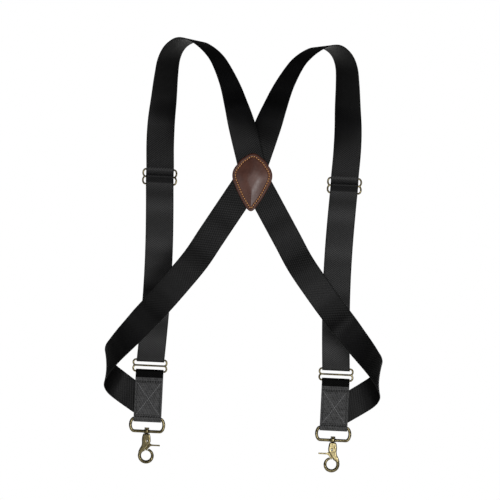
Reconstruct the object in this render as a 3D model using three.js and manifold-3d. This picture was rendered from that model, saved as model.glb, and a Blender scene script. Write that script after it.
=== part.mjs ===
// Side-clip suspenders with an X back: two elastic straps that cross under a leather patch, go over the
// shoulders, and end in sewn tabs with swivelling trigger hooks. Millimetres, +Z up, the wearer faces +Y,
// and the wearer's left is -X. The origin is the middle of the patch's inner face, which lies on the back.
import * as THREE from "three";
import { mergeVertices } from "three/addons/utils/BufferGeometryUtils.js";
import Module from "manifold-3d";

const wasm = await Module();
wasm.setup();

// ---- driving dimensions -----------------------------------------------------------------------------
const GAP = 0.3; // clearance between pieces that touch
const WEB_WIDTH = 38.1; // elastic webbing, one and a half inches
const WEB_THICK = 1.5;

const COLUMN_X = 128; // sideways distance from the middle to each connector, tab and hook
const SLIDER_X = 127; // and to each slider
const DEPTH = 80; // from the back straps to the front straps
const SHOULDER_Z = 190; // height of the strap's middle at the top of the shoulder
const SLIDER_Z = 1.4; // heights of the hardware on the front column
const CONNECTOR_Z = -258.2;
const TAB_TOP_Z = -274.5;
const TAB_BAR_Z = -331; // the hook ring's upper bar, which the tab folds round
const FRONT_BOW = 4.5; // how far the front run bows inwards between slider and connector

const PATCH_WIDTH = 54.5;
const PATCH_TOP = 39; // from the origin up to the patch's top corner
const PATCH_BOTTOM = 40;
const PATCH_WIDEST = 12; // height of its side corners
const PATCH_SIDE_ROUND = 18; // how far from each side corner its rounding starts
const PATCH_END_ROUND = 16; // the same at the top and bottom corners
const PATCH_BELLY = 1; // how far its four edges bow outwards
const PATCH_OUTER_THICK = 2.2;
const PATCH_BACKING_THICK = 1.5;

const FRAME_WIRE = 2.5; // wire diameter of slider and connector
const FRAME_PLAY = 0.9; // their straight bars are this much longer than the webbing is wide
const FRAME_LOBE = 3.4; // how far the wire's middle bulges past the straight part
const SLIDER_PITCH = 10.1; // between neighbouring bars
const CONNECTOR_PITCH = 8;

const RING_WIRE = 4.2;
const RING_PLAY = 3.5; // the ring is this much wider inside than the webbing
const RING_BULGE = 5.4; // how far its ends stand past the straight bars
const RING_HEIGHT = 17.6; // between the middles of its upper and lower bars
const BOSS_DIAMETER = 8;
const BOSS_HEIGHT = 5.6;
const POST_DIAMETER = 3.8;
const POST_HEAD_DIAMETER = 6.8;
const POST_HEAD_HEIGHT = 2.2;

const HOOK_THICK = 7; // through the hook's body
const HOOK_SLOT = 4.4; // the slot that the trigger sits in
const HOOK_NECK_WIDTH = 8.6;
const HOOK_BODY_WIDTH = 12.4;
const HOOK_LENGTH = 30; // from under the boss to the middle of the eye
const EYE_RADIUS = 9; // middle of the eye's bar
const EYE_BAR = 4.8;
const EYE_TIP = 3.4; // the bar's thickness at the tip
const TRIGGER_HUB = 3.3; // radius about the pin
const GATE_BACK = 1.7; // how far the gate stands back of the pin
const GATE_DROP = 5; // from the pin down to the lever
const GATE_SWING = 24; // degrees that the trigger turns
const SPRING_ROOM = 0.75; // the hub starts this far behind the middle, past the spring
const PIN_DIAMETER = 2.2;
const PIN_DROP = 10; // from under the boss to the pin
const LEVER_REACH = 19; // from the hook's axis to the lever's tip
const LEVER_THICK = 2.1;
const SPRING_RADIUS = 1.8; // middle of the spring's wire, about the pin
const SPRING_WIRE = 0.5;
const SPRING_TURNS = 3;

// ---- finishes ---------------------------------------------------------------------------------------
const elastic = new THREE.MeshStandardMaterial({ color: "#1b1b1c", roughness: 0.75, metalness: 0 });
const tabWeb = new THREE.MeshStandardMaterial({ color: "#3b3b3d", roughness: 0.85, metalness: 0 });
const leather = new THREE.MeshStandardMaterial({ color: "#5c3a30", roughness: 0.4, metalness: 0 });
const backing = new THREE.MeshStandardMaterial({ color: "#2b211d", roughness: 0.8, metalness: 0 });
const antiqueBrass = new THREE.MeshStandardMaterial({ color: "#8b7f5b", roughness: 0.35, metalness: 1 });
const steel = new THREE.MeshStandardMaterial({ color: "#a9a9a4", roughness: 0.35, metalness: 1 });

// ---- planes that the layers lie in ------------------------------------------------------------------
const layerPitch = WEB_THICK + GAP;
const plyPitch = WEB_THICK + 2 * GAP; // between the plies that are sewn together in the tab
const strapPlane = -(PATCH_BACKING_THICK + 2 * GAP + WEB_THICK + GAP / 2); // between the two crossed straps
const frontPlane = strapPlane + DEPTH; // middle of the frames, rings and hooks
const frameRadius = FRAME_WIRE / 2;
const frameStraight = WEB_WIDTH + FRAME_PLAY;
const ringStraight = WEB_WIDTH + RING_PLAY + RING_WIRE - 2 * RING_BULGE;
const overBar = frameRadius + GAP + WEB_THICK / 2; // webbing's middle, past a bar's middle
const halfWeb = WEB_THICK / 2;

// ---- building blocks --------------------------------------------------------------------------------
const vec = (x, y, z) => new THREE.Vector3(x, y, z);

// An indexed closed mesh, turned the right way out.
function closedGeometry(points, faces) {
  let volume = 0;
  for (const [a, b, c] of faces) {
    volume += points[a].dot(vec(0, 0, 0).crossVectors(points[b], points[c]));
  }
  const outward = volume > 0 ? faces : faces.map(([a, b, c]) => [a, c, b]);
  const geometry = new THREE.BufferGeometry().setFromPoints(points);
  geometry.setIndex(outward.flat());
  return geometry;
}

// A section carried through rings of points; a loop joins its last ring to its first.
function skin(rings, isLoop) {
  const count = rings[0].length;
  const faces = [];
  const spans = isLoop ? rings.length : rings.length - 1;
  for (let i = 0; i < spans; i++) {
    const here = i * count;
    const next = ((i + 1) % rings.length) * count;
    for (let j = 0; j < count; j++) {
      const k = (j + 1) % count;
      faces.push([here + j, next + j, next + k], [here + j, next + k, here + k]);
    }
  }
  if (!isLoop) {
    const last = (rings.length - 1) * count;
    for (let j = 1; j < count - 1; j++) {
      faces.push([0, j, j + 1], [last, last + j + 1, last + j]);
    }
  }
  return closedGeometry(rings.flat(), faces);
}

// Flat webbing: each station has the middle of the band and the direction across it.
function ribbon(stations, width = WEB_WIDTH, thick = WEB_THICK) {
  const rings = stations.map(({ at, across }, i) => {
    const before = stations[Math.max(i - 1, 0)].at;
    const after = stations[Math.min(i + 1, stations.length - 1)].at;
    const along = after.clone().sub(before).normalize();
    const side = across.clone().normalize();
    const face = vec(0, 0, 0).crossVectors(along, side).normalize();
    const corner = (s, f) =>
      at.clone().addScaledVector(side, (s * width) / 2).addScaledVector(face, (f * thick) / 2);
    return [corner(-1, -1), corner(1, -1), corner(1, 1), corner(-1, 1)];
  });
  return skin(rings, false);
}

// Webbing that runs straight across X and bends only in the YZ plane.
function foldedWebbing(x, path, width = WEB_WIDTH) {
  return ribbon(path.map(([y, z]) => ({ at: vec(x, y, z), across: vec(1, 0, 0) })), width);
}

// Points of an arc in the YZ plane, angles in degrees from +Y towards +Z.
function arcYZ(y, z, radius, from, to, steps) {
  return Array.from({ length: steps + 1 }, (_, i) => {
    const angle = THREE.MathUtils.degToRad(from + ((to - from) * i) / steps);
    return [y + radius * Math.cos(angle), z + radius * Math.sin(angle)];
  });
}

// Round wire bent into a flat ring in the XZ plane: two straight bars with rounded ends.
function wireRing(x, z, straight, bulge, height, wire, sides = 10, steps = 7) {
  const middle = [];
  for (const end of [1, -1]) {
    for (let i = 0; i <= steps; i++) {
      const angle = Math.PI / 2 - (Math.PI * i) / steps;
      const dx = straight / 2 + bulge * Math.cos(angle);
      middle.push(vec(x + end * dx, frontPlane, z + end * (height / 2) * Math.sin(angle)));
    }
  }
  const rings = middle.map((point, i) => {
    const before = middle[(i + middle.length - 1) % middle.length];
    const after = middle[(i + 1) % middle.length];
    const along = after.clone().sub(before).normalize();
    const out = vec(0, 0, 0).crossVectors(along, vec(0, 1, 0));
    return Array.from({ length: sides }, (_, j) => {
      const angle = (2 * Math.PI * (j + 0.5)) / sides;
      const offset = out.clone().multiplyScalar((Math.cos(angle) * wire) / 2);
      return point.clone().add(offset).add(vec(0, (Math.sin(angle) * wire) / 2, 0));
    });
  });
  return skin(rings, true);
}

function solid(geometry) {
  const plain = geometry.index ? geometry.clone() : geometry;
  plain.deleteAttribute("normal");
  plain.deleteAttribute("uv");
  const merged = mergeVertices(plain, 1e-4);
  return new wasm.Manifold(new wasm.Mesh({
    numProp: 3,
    vertProperties: new Float32Array(merged.attributes.position.array),
    triVerts: new Uint32Array(merged.index.array),
  }));
}

function geometryOf(manifold) {
  const mesh = manifold.getMesh();
  const geometry = new THREE.BufferGeometry();
  geometry.setAttribute("position", new THREE.BufferAttribute(new Float32Array(mesh.vertProperties), 3));
  geometry.setIndex(Array.from(mesh.triVerts));
  return geometry;
}

const upright = (radius, low, high, x, sides = 16) =>
  new THREE.CylinderGeometry(radius, radius, high - low, sides)
    .rotateX(Math.PI / 2)
    .translate(x, frontPlane, (low + high) / 2);

const through = (radius, x, z, low, high, sides = 14) =>
  new THREE.CylinderGeometry(radius, radius, high - low, sides).translate(x, (low + high) / 2, z);

// A flat outline in X and Z, extruded through Y.
function plate(shape, low, high, curveSegments = 6, bevel = 0) {
  const options = {
    depth: high - low - 2 * bevel,
    steps: 1,
    curveSegments,
    bevelEnabled: bevel > 0,
    bevelThickness: bevel,
    bevelSize: bevel,
    bevelOffset: -bevel,
    bevelSegments: 1,
  };
  // Turning about X sends the outline's y to +Z and the depth to -Y.
  return new THREE.ExtrudeGeometry(shape, options)
    .rotateX(Math.PI / 2)
    .translate(0, high - bevel, 0);
}

// ---- places on the front column ---------------------------------------------------------------------
const sliderX = -SLIDER_X;
const sliderTop = SLIDER_Z + SLIDER_PITCH;
const sliderBottom = SLIDER_Z - SLIDER_PITCH;
const connectorTop = CONNECTOR_Z + CONNECTOR_PITCH;
const connectorBottom = CONNECTOR_Z - CONNECTOR_PITCH;
const weaveReach = 2.2; // strap carried past the slider's outer bars
const tailReach = 3.4; // the sewn tail's end, below the bottom bar
const runFront = frontPlane - overBar; // the strap in front of the slider's bars
const returnFront = runFront - layerPitch; // the return run, in front of the strap
const tailFront = returnFront - layerPitch;

// ---- the strap's route ------------------------------------------------------------------------------
// The strap over the left shoulder, from the slider up over the shoulder, down the back and round the
// right hip. Each row: x as a share of the column's distance, y as a share of the depth, z as a share of
// the shoulder's height (above the patch) or of the connector's drop (below it), the turn of the band
// about the vertical and its bank in degrees, and how far it stands off the plane between the two straps,
// where 1 is lying on the other strap.
const shoulderRoute = [
  [-1.004, 0.971, 0.25, 1, -1, 0],
  [-1.003, 1.0, 0.414, 11, -2, 0],
  [-0.988, 1.03, 0.578, 22, -2, 0],
  [-0.974, 1.01, 0.746, 32, 0, 0],
  [-0.953, 0.93, 0.864, 37, 1, 0],
  [-0.895, 0.79, 0.949, 41, -2, 0],
  [-0.793, 0.63, 1.0, 45, -6, 0],
  [-0.683, 0.47, 1.0, 46, -6, 0],
  [-0.589, 0.34, 0.971, 48, -5, 0],
  [-0.486, 0.235, 0.916, 51, -2, 0],
  [-0.4, 0.16, 0.843, 53, 2, 0],
  [-0.29, 0.08, 0.699, 46, 7, 0.3],
  [-0.207, 0.03, 0.546, 33, 12, 1.4],
  [-0.131, 0.005, 0.389, 13, 14, 2.7],
  [-0.06, 0, 0.231, 0, 16, 1.3],
];
const crossingRoute = [
  [0.006, 0, 0.077, 0, 18, 1.1],
  [0.04, 0, 0.012, 0, 22, 1.1],
  [0.083, 0, -0.031, 0, 28, 1.1],
];
const hipRoute = [
  [0.14, 0, -0.078, 0, 31, 1.1],
  [0.252, 0, -0.17, 0, 31, 1],
  [0.41, 0, -0.3, 0, 31, 0.5],
  [0.562, 0, -0.425, 0, 33, 0],
  [0.77, 0, -0.562, 0, 37, 0],
  [0.961, 0.012, -0.68, 7, 39, 0],
  [1.071, 0.037, -0.744, 15, 40, 0],
  [1.18, 0.085, -0.808, 27, 42, 0],
  [1.283, 0.16, -0.867, 38, 46, 0],
  [1.362, 0.26, -0.914, 48, 48, 0],
  [1.425, 0.39, -0.956, 56, 50, 0],
  [1.458, 0.54, -0.997, 76, 54, 0],
  [1.449, 0.71, -1.039, 110, 57, 0],
  [1.41, 0.83, -1.071, 135, 55, 0],
  [1.343, 0.962, -1.102, 162, 55, 0],
  [1.252, 1.0, -1.134, 180, 54, 0],
  [1.152, 1.0, -1.166, 180, 54, 0],
  [1.04, 1.0, -1.201, 180, 54, 0],
];
const route = [...shoulderRoute, ...crossingRoute, ...hipRoute];
const routeEnd = route.length; // the slider's end of the strap is place 0
const arcStart = 4; // where the strap leaves the front stretch, as a place in the route
const arcEnd = 10;
const crossStart = shoulderRoute.length;
const crossEnd = crossStart + crossingRoute.length + 1;
const hipStart = crossStart + crossingRoute.length + 7;
const hipEnd = routeEnd - 2;
const crossingRise = 1.35; // how far the outer strap stands off under the patch, in the same measure

// layer is -1 for the strap that lies outside at the crossing and 1 for the one that lies inside.
function strapCurves(layer) {
  const middle = [vec(sliderX, runFront, sliderTop + weaveReach + GAP)];
  const across = [vec(1, 0, 0)];
  for (const [x, y, z, turn, bank, apart] of route) {
    const height = z * (z > 0 ? SHOULDER_Z : -CONNECTOR_Z);
    const yaw = THREE.MathUtils.degToRad(turn);
    const lift = THREE.MathUtils.degToRad(bank);
    middle.push(vec(x * COLUMN_X, strapPlane + y * DEPTH + (layer * apart * layerPitch) / 2, height));
    across.push(vec(Math.cos(lift) * Math.cos(yaw), Math.cos(lift) * Math.sin(yaw), Math.sin(lift)));
  }
  return {
    middle: new THREE.CatmullRomCurve3(middle, false, "catmullrom", 0.5),
    across: new THREE.CatmullRomCurve3(across, false, "catmullrom", 0.5),
  };
}

function strapStation(place, curves) {
  const share = Math.min(Math.max(place / routeEnd, 0), 1);
  return { at: curves.middle.getPoint(share), across: curves.across.getPoint(share) };
}

// A stretch of strap between two places in the route, cut back by half a gap at each end.
function strapStretch(from, to, curves, perStation) {
  const length = (a, b) => strapStation(a, curves).at.distanceTo(strapStation(b, curves).at);
  const trim = (place, step) => place + (step * (GAP / 2)) / (length(place, place + step * 0.1) / 0.1);
  const start = from === 0 ? from : trim(from, 1);
  const end = to === routeEnd ? to : trim(to, -1);
  const steps = Math.max(1, Math.round((to - from) * perStation));
  return ribbon(Array.from({ length: steps + 1 }, (_, i) =>
    strapStation(start + ((end - start) * i) / steps, curves)));
}

// ---- slider, runs, connector and tab ----------------------------------------------------------------
function wireFrame(x, z, pitch) {
  const half = (side) =>
    solid(wireRing(x, z + (side * pitch) / 2, frameStraight, FRAME_LOBE, pitch, FRAME_WIRE));
  return geometryOf(half(1).add(half(-1)));
}

// The strap dives behind the slider's middle bar and the loop that is sewn round it.
function sliderWeave() {
  const behind = frameRadius + 2 * GAP + WEB_THICK + halfWeb + GAP;
  const middle = (behind - overBar) / 2;
  const swing = (behind + overBar) / 2;
  const steps = 16;
  const path = [[runFront, sliderTop + weaveReach]];
  for (let i = 0; i <= steps; i++) {
    const z = SLIDER_PITCH * (1 - (2 * i) / steps);
    path.push([frontPlane + middle + swing * Math.cos((Math.PI * z) / SLIDER_PITCH), SLIDER_Z + z]);
  }
  path.push([runFront, sliderBottom - weaveReach]);
  return foldedWebbing(sliderX, path);
}

// The strap's end: up behind its own tail, round the middle bar and down in front, where it is sewn.
function sliderLoop() {
  const turn = frameRadius + GAP + halfWeb;
  const rise = SLIDER_PITCH / 4;
  const path = [
    [returnFront, sliderBottom - tailReach],
    [returnFront, sliderBottom - GAP],
    [returnFront + layerPitch * 0.2, sliderBottom + rise],
    [frontPlane - overBar * 0.6, SLIDER_Z - SLIDER_PITCH / 2 + GAP],
    ...arcYZ(frontPlane, SLIDER_Z, turn, -40, 190, 8),
    [frontPlane - overBar - layerPitch * 1.1, SLIDER_Z - SLIDER_PITCH * 0.38],
    [tailFront - GAP, sliderBottom + rise],
    [tailFront - GAP, sliderBottom],
    [tailFront - GAP, sliderBottom - tailReach],
  ];
  return foldedWebbing(sliderX, path);
}

// A run of webbing between slider and connector, which bows inwards; ySlider and yConnector are its
// places in depth at its two ends.
function frontRun(zHigh, zLow, ySlider, yConnector) {
  const steps = 14;
  const turning = 0.65; // the run stays in front of the slider's path down to here
  const middle = (share) => {
    const z = zHigh + (zLow - zHigh) * share;
    const along = (SLIDER_Z - z) / (SLIDER_Z - CONNECTOR_Z);
    const x = sliderX + (-COLUMN_X - sliderX) * along + FRONT_BOW * Math.sin(Math.PI * along);
    const ease = THREE.MathUtils.smoothstep(share, turning, 1);
    return vec(x, ySlider + (yConnector - ySlider) * ease, z);
  };
  return ribbon(Array.from({ length: steps + 1 }, (_, i) => ({
    at: middle(i / steps),
    across: vec(1, 0, 0),
  })));
}

const runLow = connectorTop + weaveReach;

function connectorLoop() {
  const path = [
    [frontPlane + overBar, runLow - GAP],
    ...arcYZ(frontPlane, connectorTop, overBar, 0, -180, 10),
    [frontPlane - overBar, runLow - GAP],
  ];
  return foldedWebbing(-COLUMN_X, path);
}

// A short strip folded over the connector's lower bar, with both legs sewn into the tab.
const stripLegs = 18; // below the bar
function connectorStrip() {
  const path = [
    [frontPlane + plyPitch, connectorBottom - stripLegs],
    [frontPlane + plyPitch, connectorBottom - 2 * overBar],
    ...arcYZ(frontPlane, connectorBottom, overBar, -10, 190, 10),
    [frontPlane - plyPitch, connectorBottom - 2 * overBar],
    [frontPlane - plyPitch, connectorBottom - stripLegs],
  ];
  return foldedWebbing(-COLUMN_X, path);
}

// The tab: folded round the hook ring's upper bar, with the strip's legs and the hip strap's end inside.
function tab() {
  const offset = 2 * plyPitch;
  const path = [
    [frontPlane + offset, TAB_TOP_Z],
    ...arcYZ(frontPlane, TAB_BAR_Z, offset, 0, -180, 12),
    [frontPlane - offset, TAB_TOP_Z],
  ];
  return foldedWebbing(-COLUMN_X, path);
}

// ---- the swivelling trigger hook --------------------------------------------------------------------
const ringLow = TAB_BAR_Z - RING_HEIGHT; // the ring's lower bar
const bossTop = ringLow + BOSS_HEIGHT / 2;
const bossLow = ringLow - BOSS_HEIGHT / 2;
const hookTop = bossLow - GAP;
const pinZ = hookTop - PIN_DROP;
const eyeZ = hookTop - HOOK_LENGTH;
const pinX = -COLUMN_X + 1; // the pin sits a little towards the wearer's middle
const eyeX = -COLUMN_X + 0.5;

function hookRing() {
  const wire = solid(wireRing(-COLUMN_X, (TAB_BAR_Z + ringLow) / 2, ringStraight, RING_BULGE,
    RING_HEIGHT, RING_WIRE, 12, 10));
  const boss = solid(upright(BOSS_DIAMETER / 2, bossLow, bossTop, -COLUMN_X, 20));
  const hole = solid(upright(POST_DIAMETER / 2 + GAP, bossLow - 1, bossTop + 1, -COLUMN_X));
  return geometryOf(wire.add(boss).subtract(hole));
}

// The gate lies between the body's slanted face and the hook's tip, which is cut along the same slant.
const eyeInner = EYE_RADIUS - EYE_BAR / 2;
const eyeOuter = EYE_RADIUS + EYE_BAR / 2;
const eyeRoof = eyeZ + eyeInner;
const slantRise = pinZ - GATE_DROP - eyeRoof; // from the eye's roof up to the lever
const slantRun = HOOK_BODY_WIDTH / 2 + 0.1;
const gateFoot = pinZ - eyeRoof; // from the pin to the gate's end

function polygon(points) {
  const shape = new THREE.Shape();
  points.forEach(([x, z], i) => (i ? shape.lineTo(x, z) : shape.moveTo(x, z)));
  shape.closePath();
  return shape;
}

// The leaf-shaped body's outline, from the neck down to the eye; inward is +x.
function leafOutline() {
  const neck = HOOK_NECK_WIDTH / 2;
  const wide = HOOK_BODY_WIDTH / 2;
  const x = -COLUMN_X;
  const shape = new THREE.Shape();
  shape.moveTo(x - neck, hookTop);
  shape.lineTo(x + neck, hookTop);
  shape.quadraticCurveTo(x + wide * 0.85, hookTop - 2, x + wide, pinZ + 1);
  shape.quadraticCurveTo(x + wide, pinZ - 1, x + slantRun - 1, eyeRoof + 1.7 + slantRise);
  shape.lineTo(eyeX - 1.3, eyeRoof + 1.7);
  shape.lineTo(eyeX - 2, eyeRoof - 0.4);
  shape.lineTo(eyeX - eyeInner * 0.75, eyeZ + eyeInner * 0.7);
  shape.lineTo(eyeX - eyeInner - 0.6, eyeZ + eyeInner * 0.3);
  shape.lineTo(eyeX - eyeOuter * 0.96, eyeZ + eyeOuter * 0.3);
  shape.quadraticCurveTo(eyeX - eyeOuter * 0.92, eyeZ + eyeOuter * 0.66, x - wide - 0.6, pinZ - 7.6);
  shape.quadraticCurveTo(x - wide + 0.8, pinZ - 4.5, x - wide, pinZ + 0.5);
  shape.quadraticCurveTo(x - wide, hookTop - 3, x - neck, hookTop);
  return shape;
}

// Room for the trigger's hub, its gate at rest and its swing into the body.
function slotOutline() {
  const hub = TRIGGER_HUB + GAP;
  const swung = (x, z) => {
    const turn = THREE.MathUtils.degToRad(GATE_SWING);
    return [pinX + x * Math.cos(turn) + z * Math.sin(turn), pinZ - x * Math.sin(turn) + z * Math.cos(turn)];
  };
  const beyond = -COLUMN_X + HOOK_BODY_WIDTH;
  const [cornerX, cornerZ] = swung(-GATE_BACK, -gateFoot);
  const [heelX, heelZ] = swung(-GATE_BACK, -GATE_DROP);
  return polygon([
    [pinX - hub, pinZ + hub],
    [beyond, pinZ + hub],
    [beyond, eyeRoof + slantRise * 1.5],
    [eyeX + 1.1 + slantRun * 1.5, eyeRoof + slantRise * 1.5],
    [eyeX + 1.1, eyeRoof],
    [eyeX, eyeRoof - 1.2],
    [pinX - GATE_BACK, pinZ - gateFoot - 0.6],
    [cornerX - GAP, cornerZ - 0.8],
    [cornerX - 2 * GAP, cornerZ + GAP],
    [heelX - GAP, heelZ],
    [pinX - hub, pinZ],
  ]);
}

// The eye's round bar, which thins towards the tip.
function eyeBar() {
  const steps = 26;
  const start = 125;
  const end = 360 + 84;
  const sides = 10;
  const rings = Array.from({ length: steps + 1 }, (_, i) => {
    const share = i / steps;
    const angle = THREE.MathUtils.degToRad(start + (end - start) * share);
    const out = vec(Math.cos(angle), 0, Math.sin(angle));
    const bar = EYE_BAR / 2 - (EYE_BAR / 2 - EYE_TIP / 2) * Math.max(0, (share - 0.6) / 0.4);
    const middle = vec(eyeX, frontPlane, eyeZ).addScaledVector(out, eyeInner + bar);
    return Array.from({ length: sides }, (_, j) => {
      const turn = (2 * Math.PI * (j + 0.5)) / sides;
      return middle.clone().addScaledVector(out, bar * Math.cos(turn))
        .add(vec(0, bar * Math.sin(turn), 0));
    });
  });
  return skin(rings, false);
}

function hookBody() {
  const half = HOOK_THICK / 2;
  const x = -COLUMN_X;
  const leaf = solid(plate(leafOutline(), frontPlane - half, frontPlane + half, 6, 0.9));
  const post = solid(upright(POST_DIAMETER / 2, hookTop - 2, bossTop + GAP + 0.5, x));
  const head = solid(upright(POST_HEAD_DIAMETER / 2, bossTop + GAP, bossTop + GAP + POST_HEAD_HEIGHT, x));
  const slot = solid(plate(slotOutline(), frontPlane - HOOK_SLOT / 2, frontPlane + HOOK_SLOT / 2));
  const tipCut = solid(plate(polygon([
    [eyeX + 1.1 - slantRun * 0.4, eyeRoof - slantRise * 0.4],
    [eyeX + 1.1 + slantRun * 1.5, eyeRoof + slantRise * 1.5],
    [eyeX - 1.3 + slantRun, eyeRoof + 1.7 + slantRise],
    [eyeX - 1.3, eyeRoof + 1.7],
    [eyeX - 2, eyeRoof - 0.4],
  ]), frontPlane - half - 1, frontPlane + half + 1));
  const hole = solid(through(PIN_DIAMETER / 2 + GAP, pinX, pinZ,
    frontPlane - half - 1, frontPlane + half + 1));
  const eye = solid(eyeBar()).subtract(tipCut);
  return geometryOf(leaf.add(eye).subtract(slot).add(post).add(head).subtract(hole));
}

// The trigger: a hub on the pin, a gate that closes the eye and a lever for the thumb.
function trigger() {
  const half = HOOK_SLOT / 2 - GAP;
  const clear = 1.6 * GAP; // from the gate to the tip's cut end
  const leverTop = pinZ - GATE_DROP + 0.4;
  const leverRoot = eyeX + 1.1 + slantRun * 1.05;
  const hub = through(TRIGGER_HUB, pinX, pinZ, frontPlane + SPRING_ROOM, frontPlane + half, 20);
  const blade = new THREE.Shape();
  blade.moveTo(pinX - GATE_BACK, pinZ - TRIGGER_HUB * 0.7);
  blade.lineTo(pinX + TRIGGER_HUB * 0.75, pinZ - TRIGGER_HUB * 0.5);
  blade.quadraticCurveTo(leverRoot - 1.6, leverTop, leverRoot + 0.6, leverTop);
  blade.lineTo(-COLUMN_X + LEVER_REACH, leverTop);
  blade.lineTo(-COLUMN_X + LEVER_REACH, leverTop - LEVER_THICK);
  blade.lineTo(leverRoot, leverTop - LEVER_THICK);
  blade.lineTo(eyeX + 1.1 + slantRun * 0.7 - clear, eyeRoof + slantRise * 0.7);
  blade.lineTo(eyeX + 1.1 - clear, eyeRoof);
  blade.lineTo(pinX - GATE_BACK, eyeRoof + GAP);
  const pinHole = solid(through(PIN_DIAMETER / 2 + GAP, pinX, pinZ, frontPlane - HOOK_THICK,
    frontPlane + HOOK_THICK));
  const springRoom = solid(through(SPRING_RADIUS + SPRING_WIRE / 2 + GAP, pinX, pinZ,
    frontPlane - HOOK_THICK, frontPlane + SPRING_ROOM, 18));
  const gate = solid(plate(blade, frontPlane - half, frontPlane + half));
  return geometryOf(solid(hub).add(gate).subtract(pinHole).subtract(springRoom));
}

const pin = () => through(PIN_DIAMETER / 2, pinX, pinZ,
  frontPlane - HOOK_THICK / 2 - 0.35, frontPlane + HOOK_THICK / 2 + 0.35, 16);

function spring() {
  const pitch = SPRING_WIRE + 0.12;
  const low = frontPlane - HOOK_SLOT / 2 + GAP + SPRING_WIRE / 2;
  const turns = Array.from({ length: SPRING_TURNS * 10 + 1 }, (_, i) => {
    const angle = (2 * Math.PI * i) / 10;
    return vec(pinX + SPRING_RADIUS * Math.cos(angle), low + (pitch * i) / 10,
      pinZ + SPRING_RADIUS * Math.sin(angle));
  });
  const section = new THREE.Shape();
  section.absarc(0, 0, SPRING_WIRE / 2, 0, 2 * Math.PI);
  return new THREE.ExtrudeGeometry(section, {
    steps: SPRING_TURNS * 10,
    curveSegments: 3,
    bevelEnabled: false,
    extrudePath: new THREE.CatmullRomCurve3(turns),
  });
}

// ---- the leather patch ------------------------------------------------------------------------------
// A kite with bowed edges, whose corners are rounded off. A rounding that starts a length r from its
// corner draws the corner in by r / 2 times the cosine of half its angle, so the corners stand further out.
function patchOutline() {
  const half = PATCH_WIDTH / 2;
  const upper = Math.atan2(PATCH_TOP - PATCH_WIDEST, half); // slopes of the upper and lower edges
  const lower = Math.atan2(PATCH_BOTTOM + PATCH_WIDEST, half);
  const side = half + (PATCH_SIDE_ROUND / 2) * Math.cos((upper + lower) / 2);
  const top = PATCH_TOP + (PATCH_END_ROUND / 2) * Math.sin(upper);
  const bottom = -PATCH_BOTTOM - (PATCH_END_ROUND / 2) * Math.sin(lower);
  const corners = [
    new THREE.Vector2(0, top),
    new THREE.Vector2(side, PATCH_WIDEST),
    new THREE.Vector2(0, bottom),
    new THREE.Vector2(-side, PATCH_WIDEST),
  ];
  const rounds = [PATCH_END_ROUND, PATCH_SIDE_ROUND, PATCH_END_ROUND, PATCH_SIDE_ROUND];
  const towards = (i, j) => corners[j].clone().sub(corners[i]).normalize();
  const leaving = (i) => corners[i].clone().addScaledVector(towards(i, (i + 1) % 4), rounds[i]);
  const reaching = (i) => corners[i].clone().addScaledVector(towards(i, (i + 3) % 4), rounds[i]);
  const shape = new THREE.Shape();
  shape.moveTo(leaving(0).x, leaving(0).y);
  for (const i of [1, 2, 3, 0]) {
    const from = leaving((i + 3) % 4);
    const to = reaching(i);
    const end = leaving(i);
    const bow = to.clone().sub(from).normalize().multiplyScalar(2 * PATCH_BELLY);
    const middle = from.clone().add(to).multiplyScalar(0.5);
    shape.quadraticCurveTo(middle.x - bow.y, middle.y + bow.x, to.x, to.y);
    shape.quadraticCurveTo(corners[i].x, corners[i].y, end.x, end.y);
  }
  return shape;
}

// ---- assembly ---------------------------------------------------------------------------------------
const suspenders = new THREE.Group();

function add(group, name, geometry, material) {
  const mesh = new THREE.Mesh(geometry, material);
  mesh.name = name;
  group.add(mesh);
}

const patchShape = patchOutline();
const strapsOutside = strapPlane - (crossingRise * layerPitch) / 2 - halfWeb - GAP;
add(suspenders, "patch_outer",
  plate(patchShape, strapsOutside - PATCH_OUTER_THICK, strapsOutside, 6, 0.5), leather);
add(suspenders, "patch_backing", plate(patchShape, -PATCH_BACKING_THICK, 0), backing);

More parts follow.
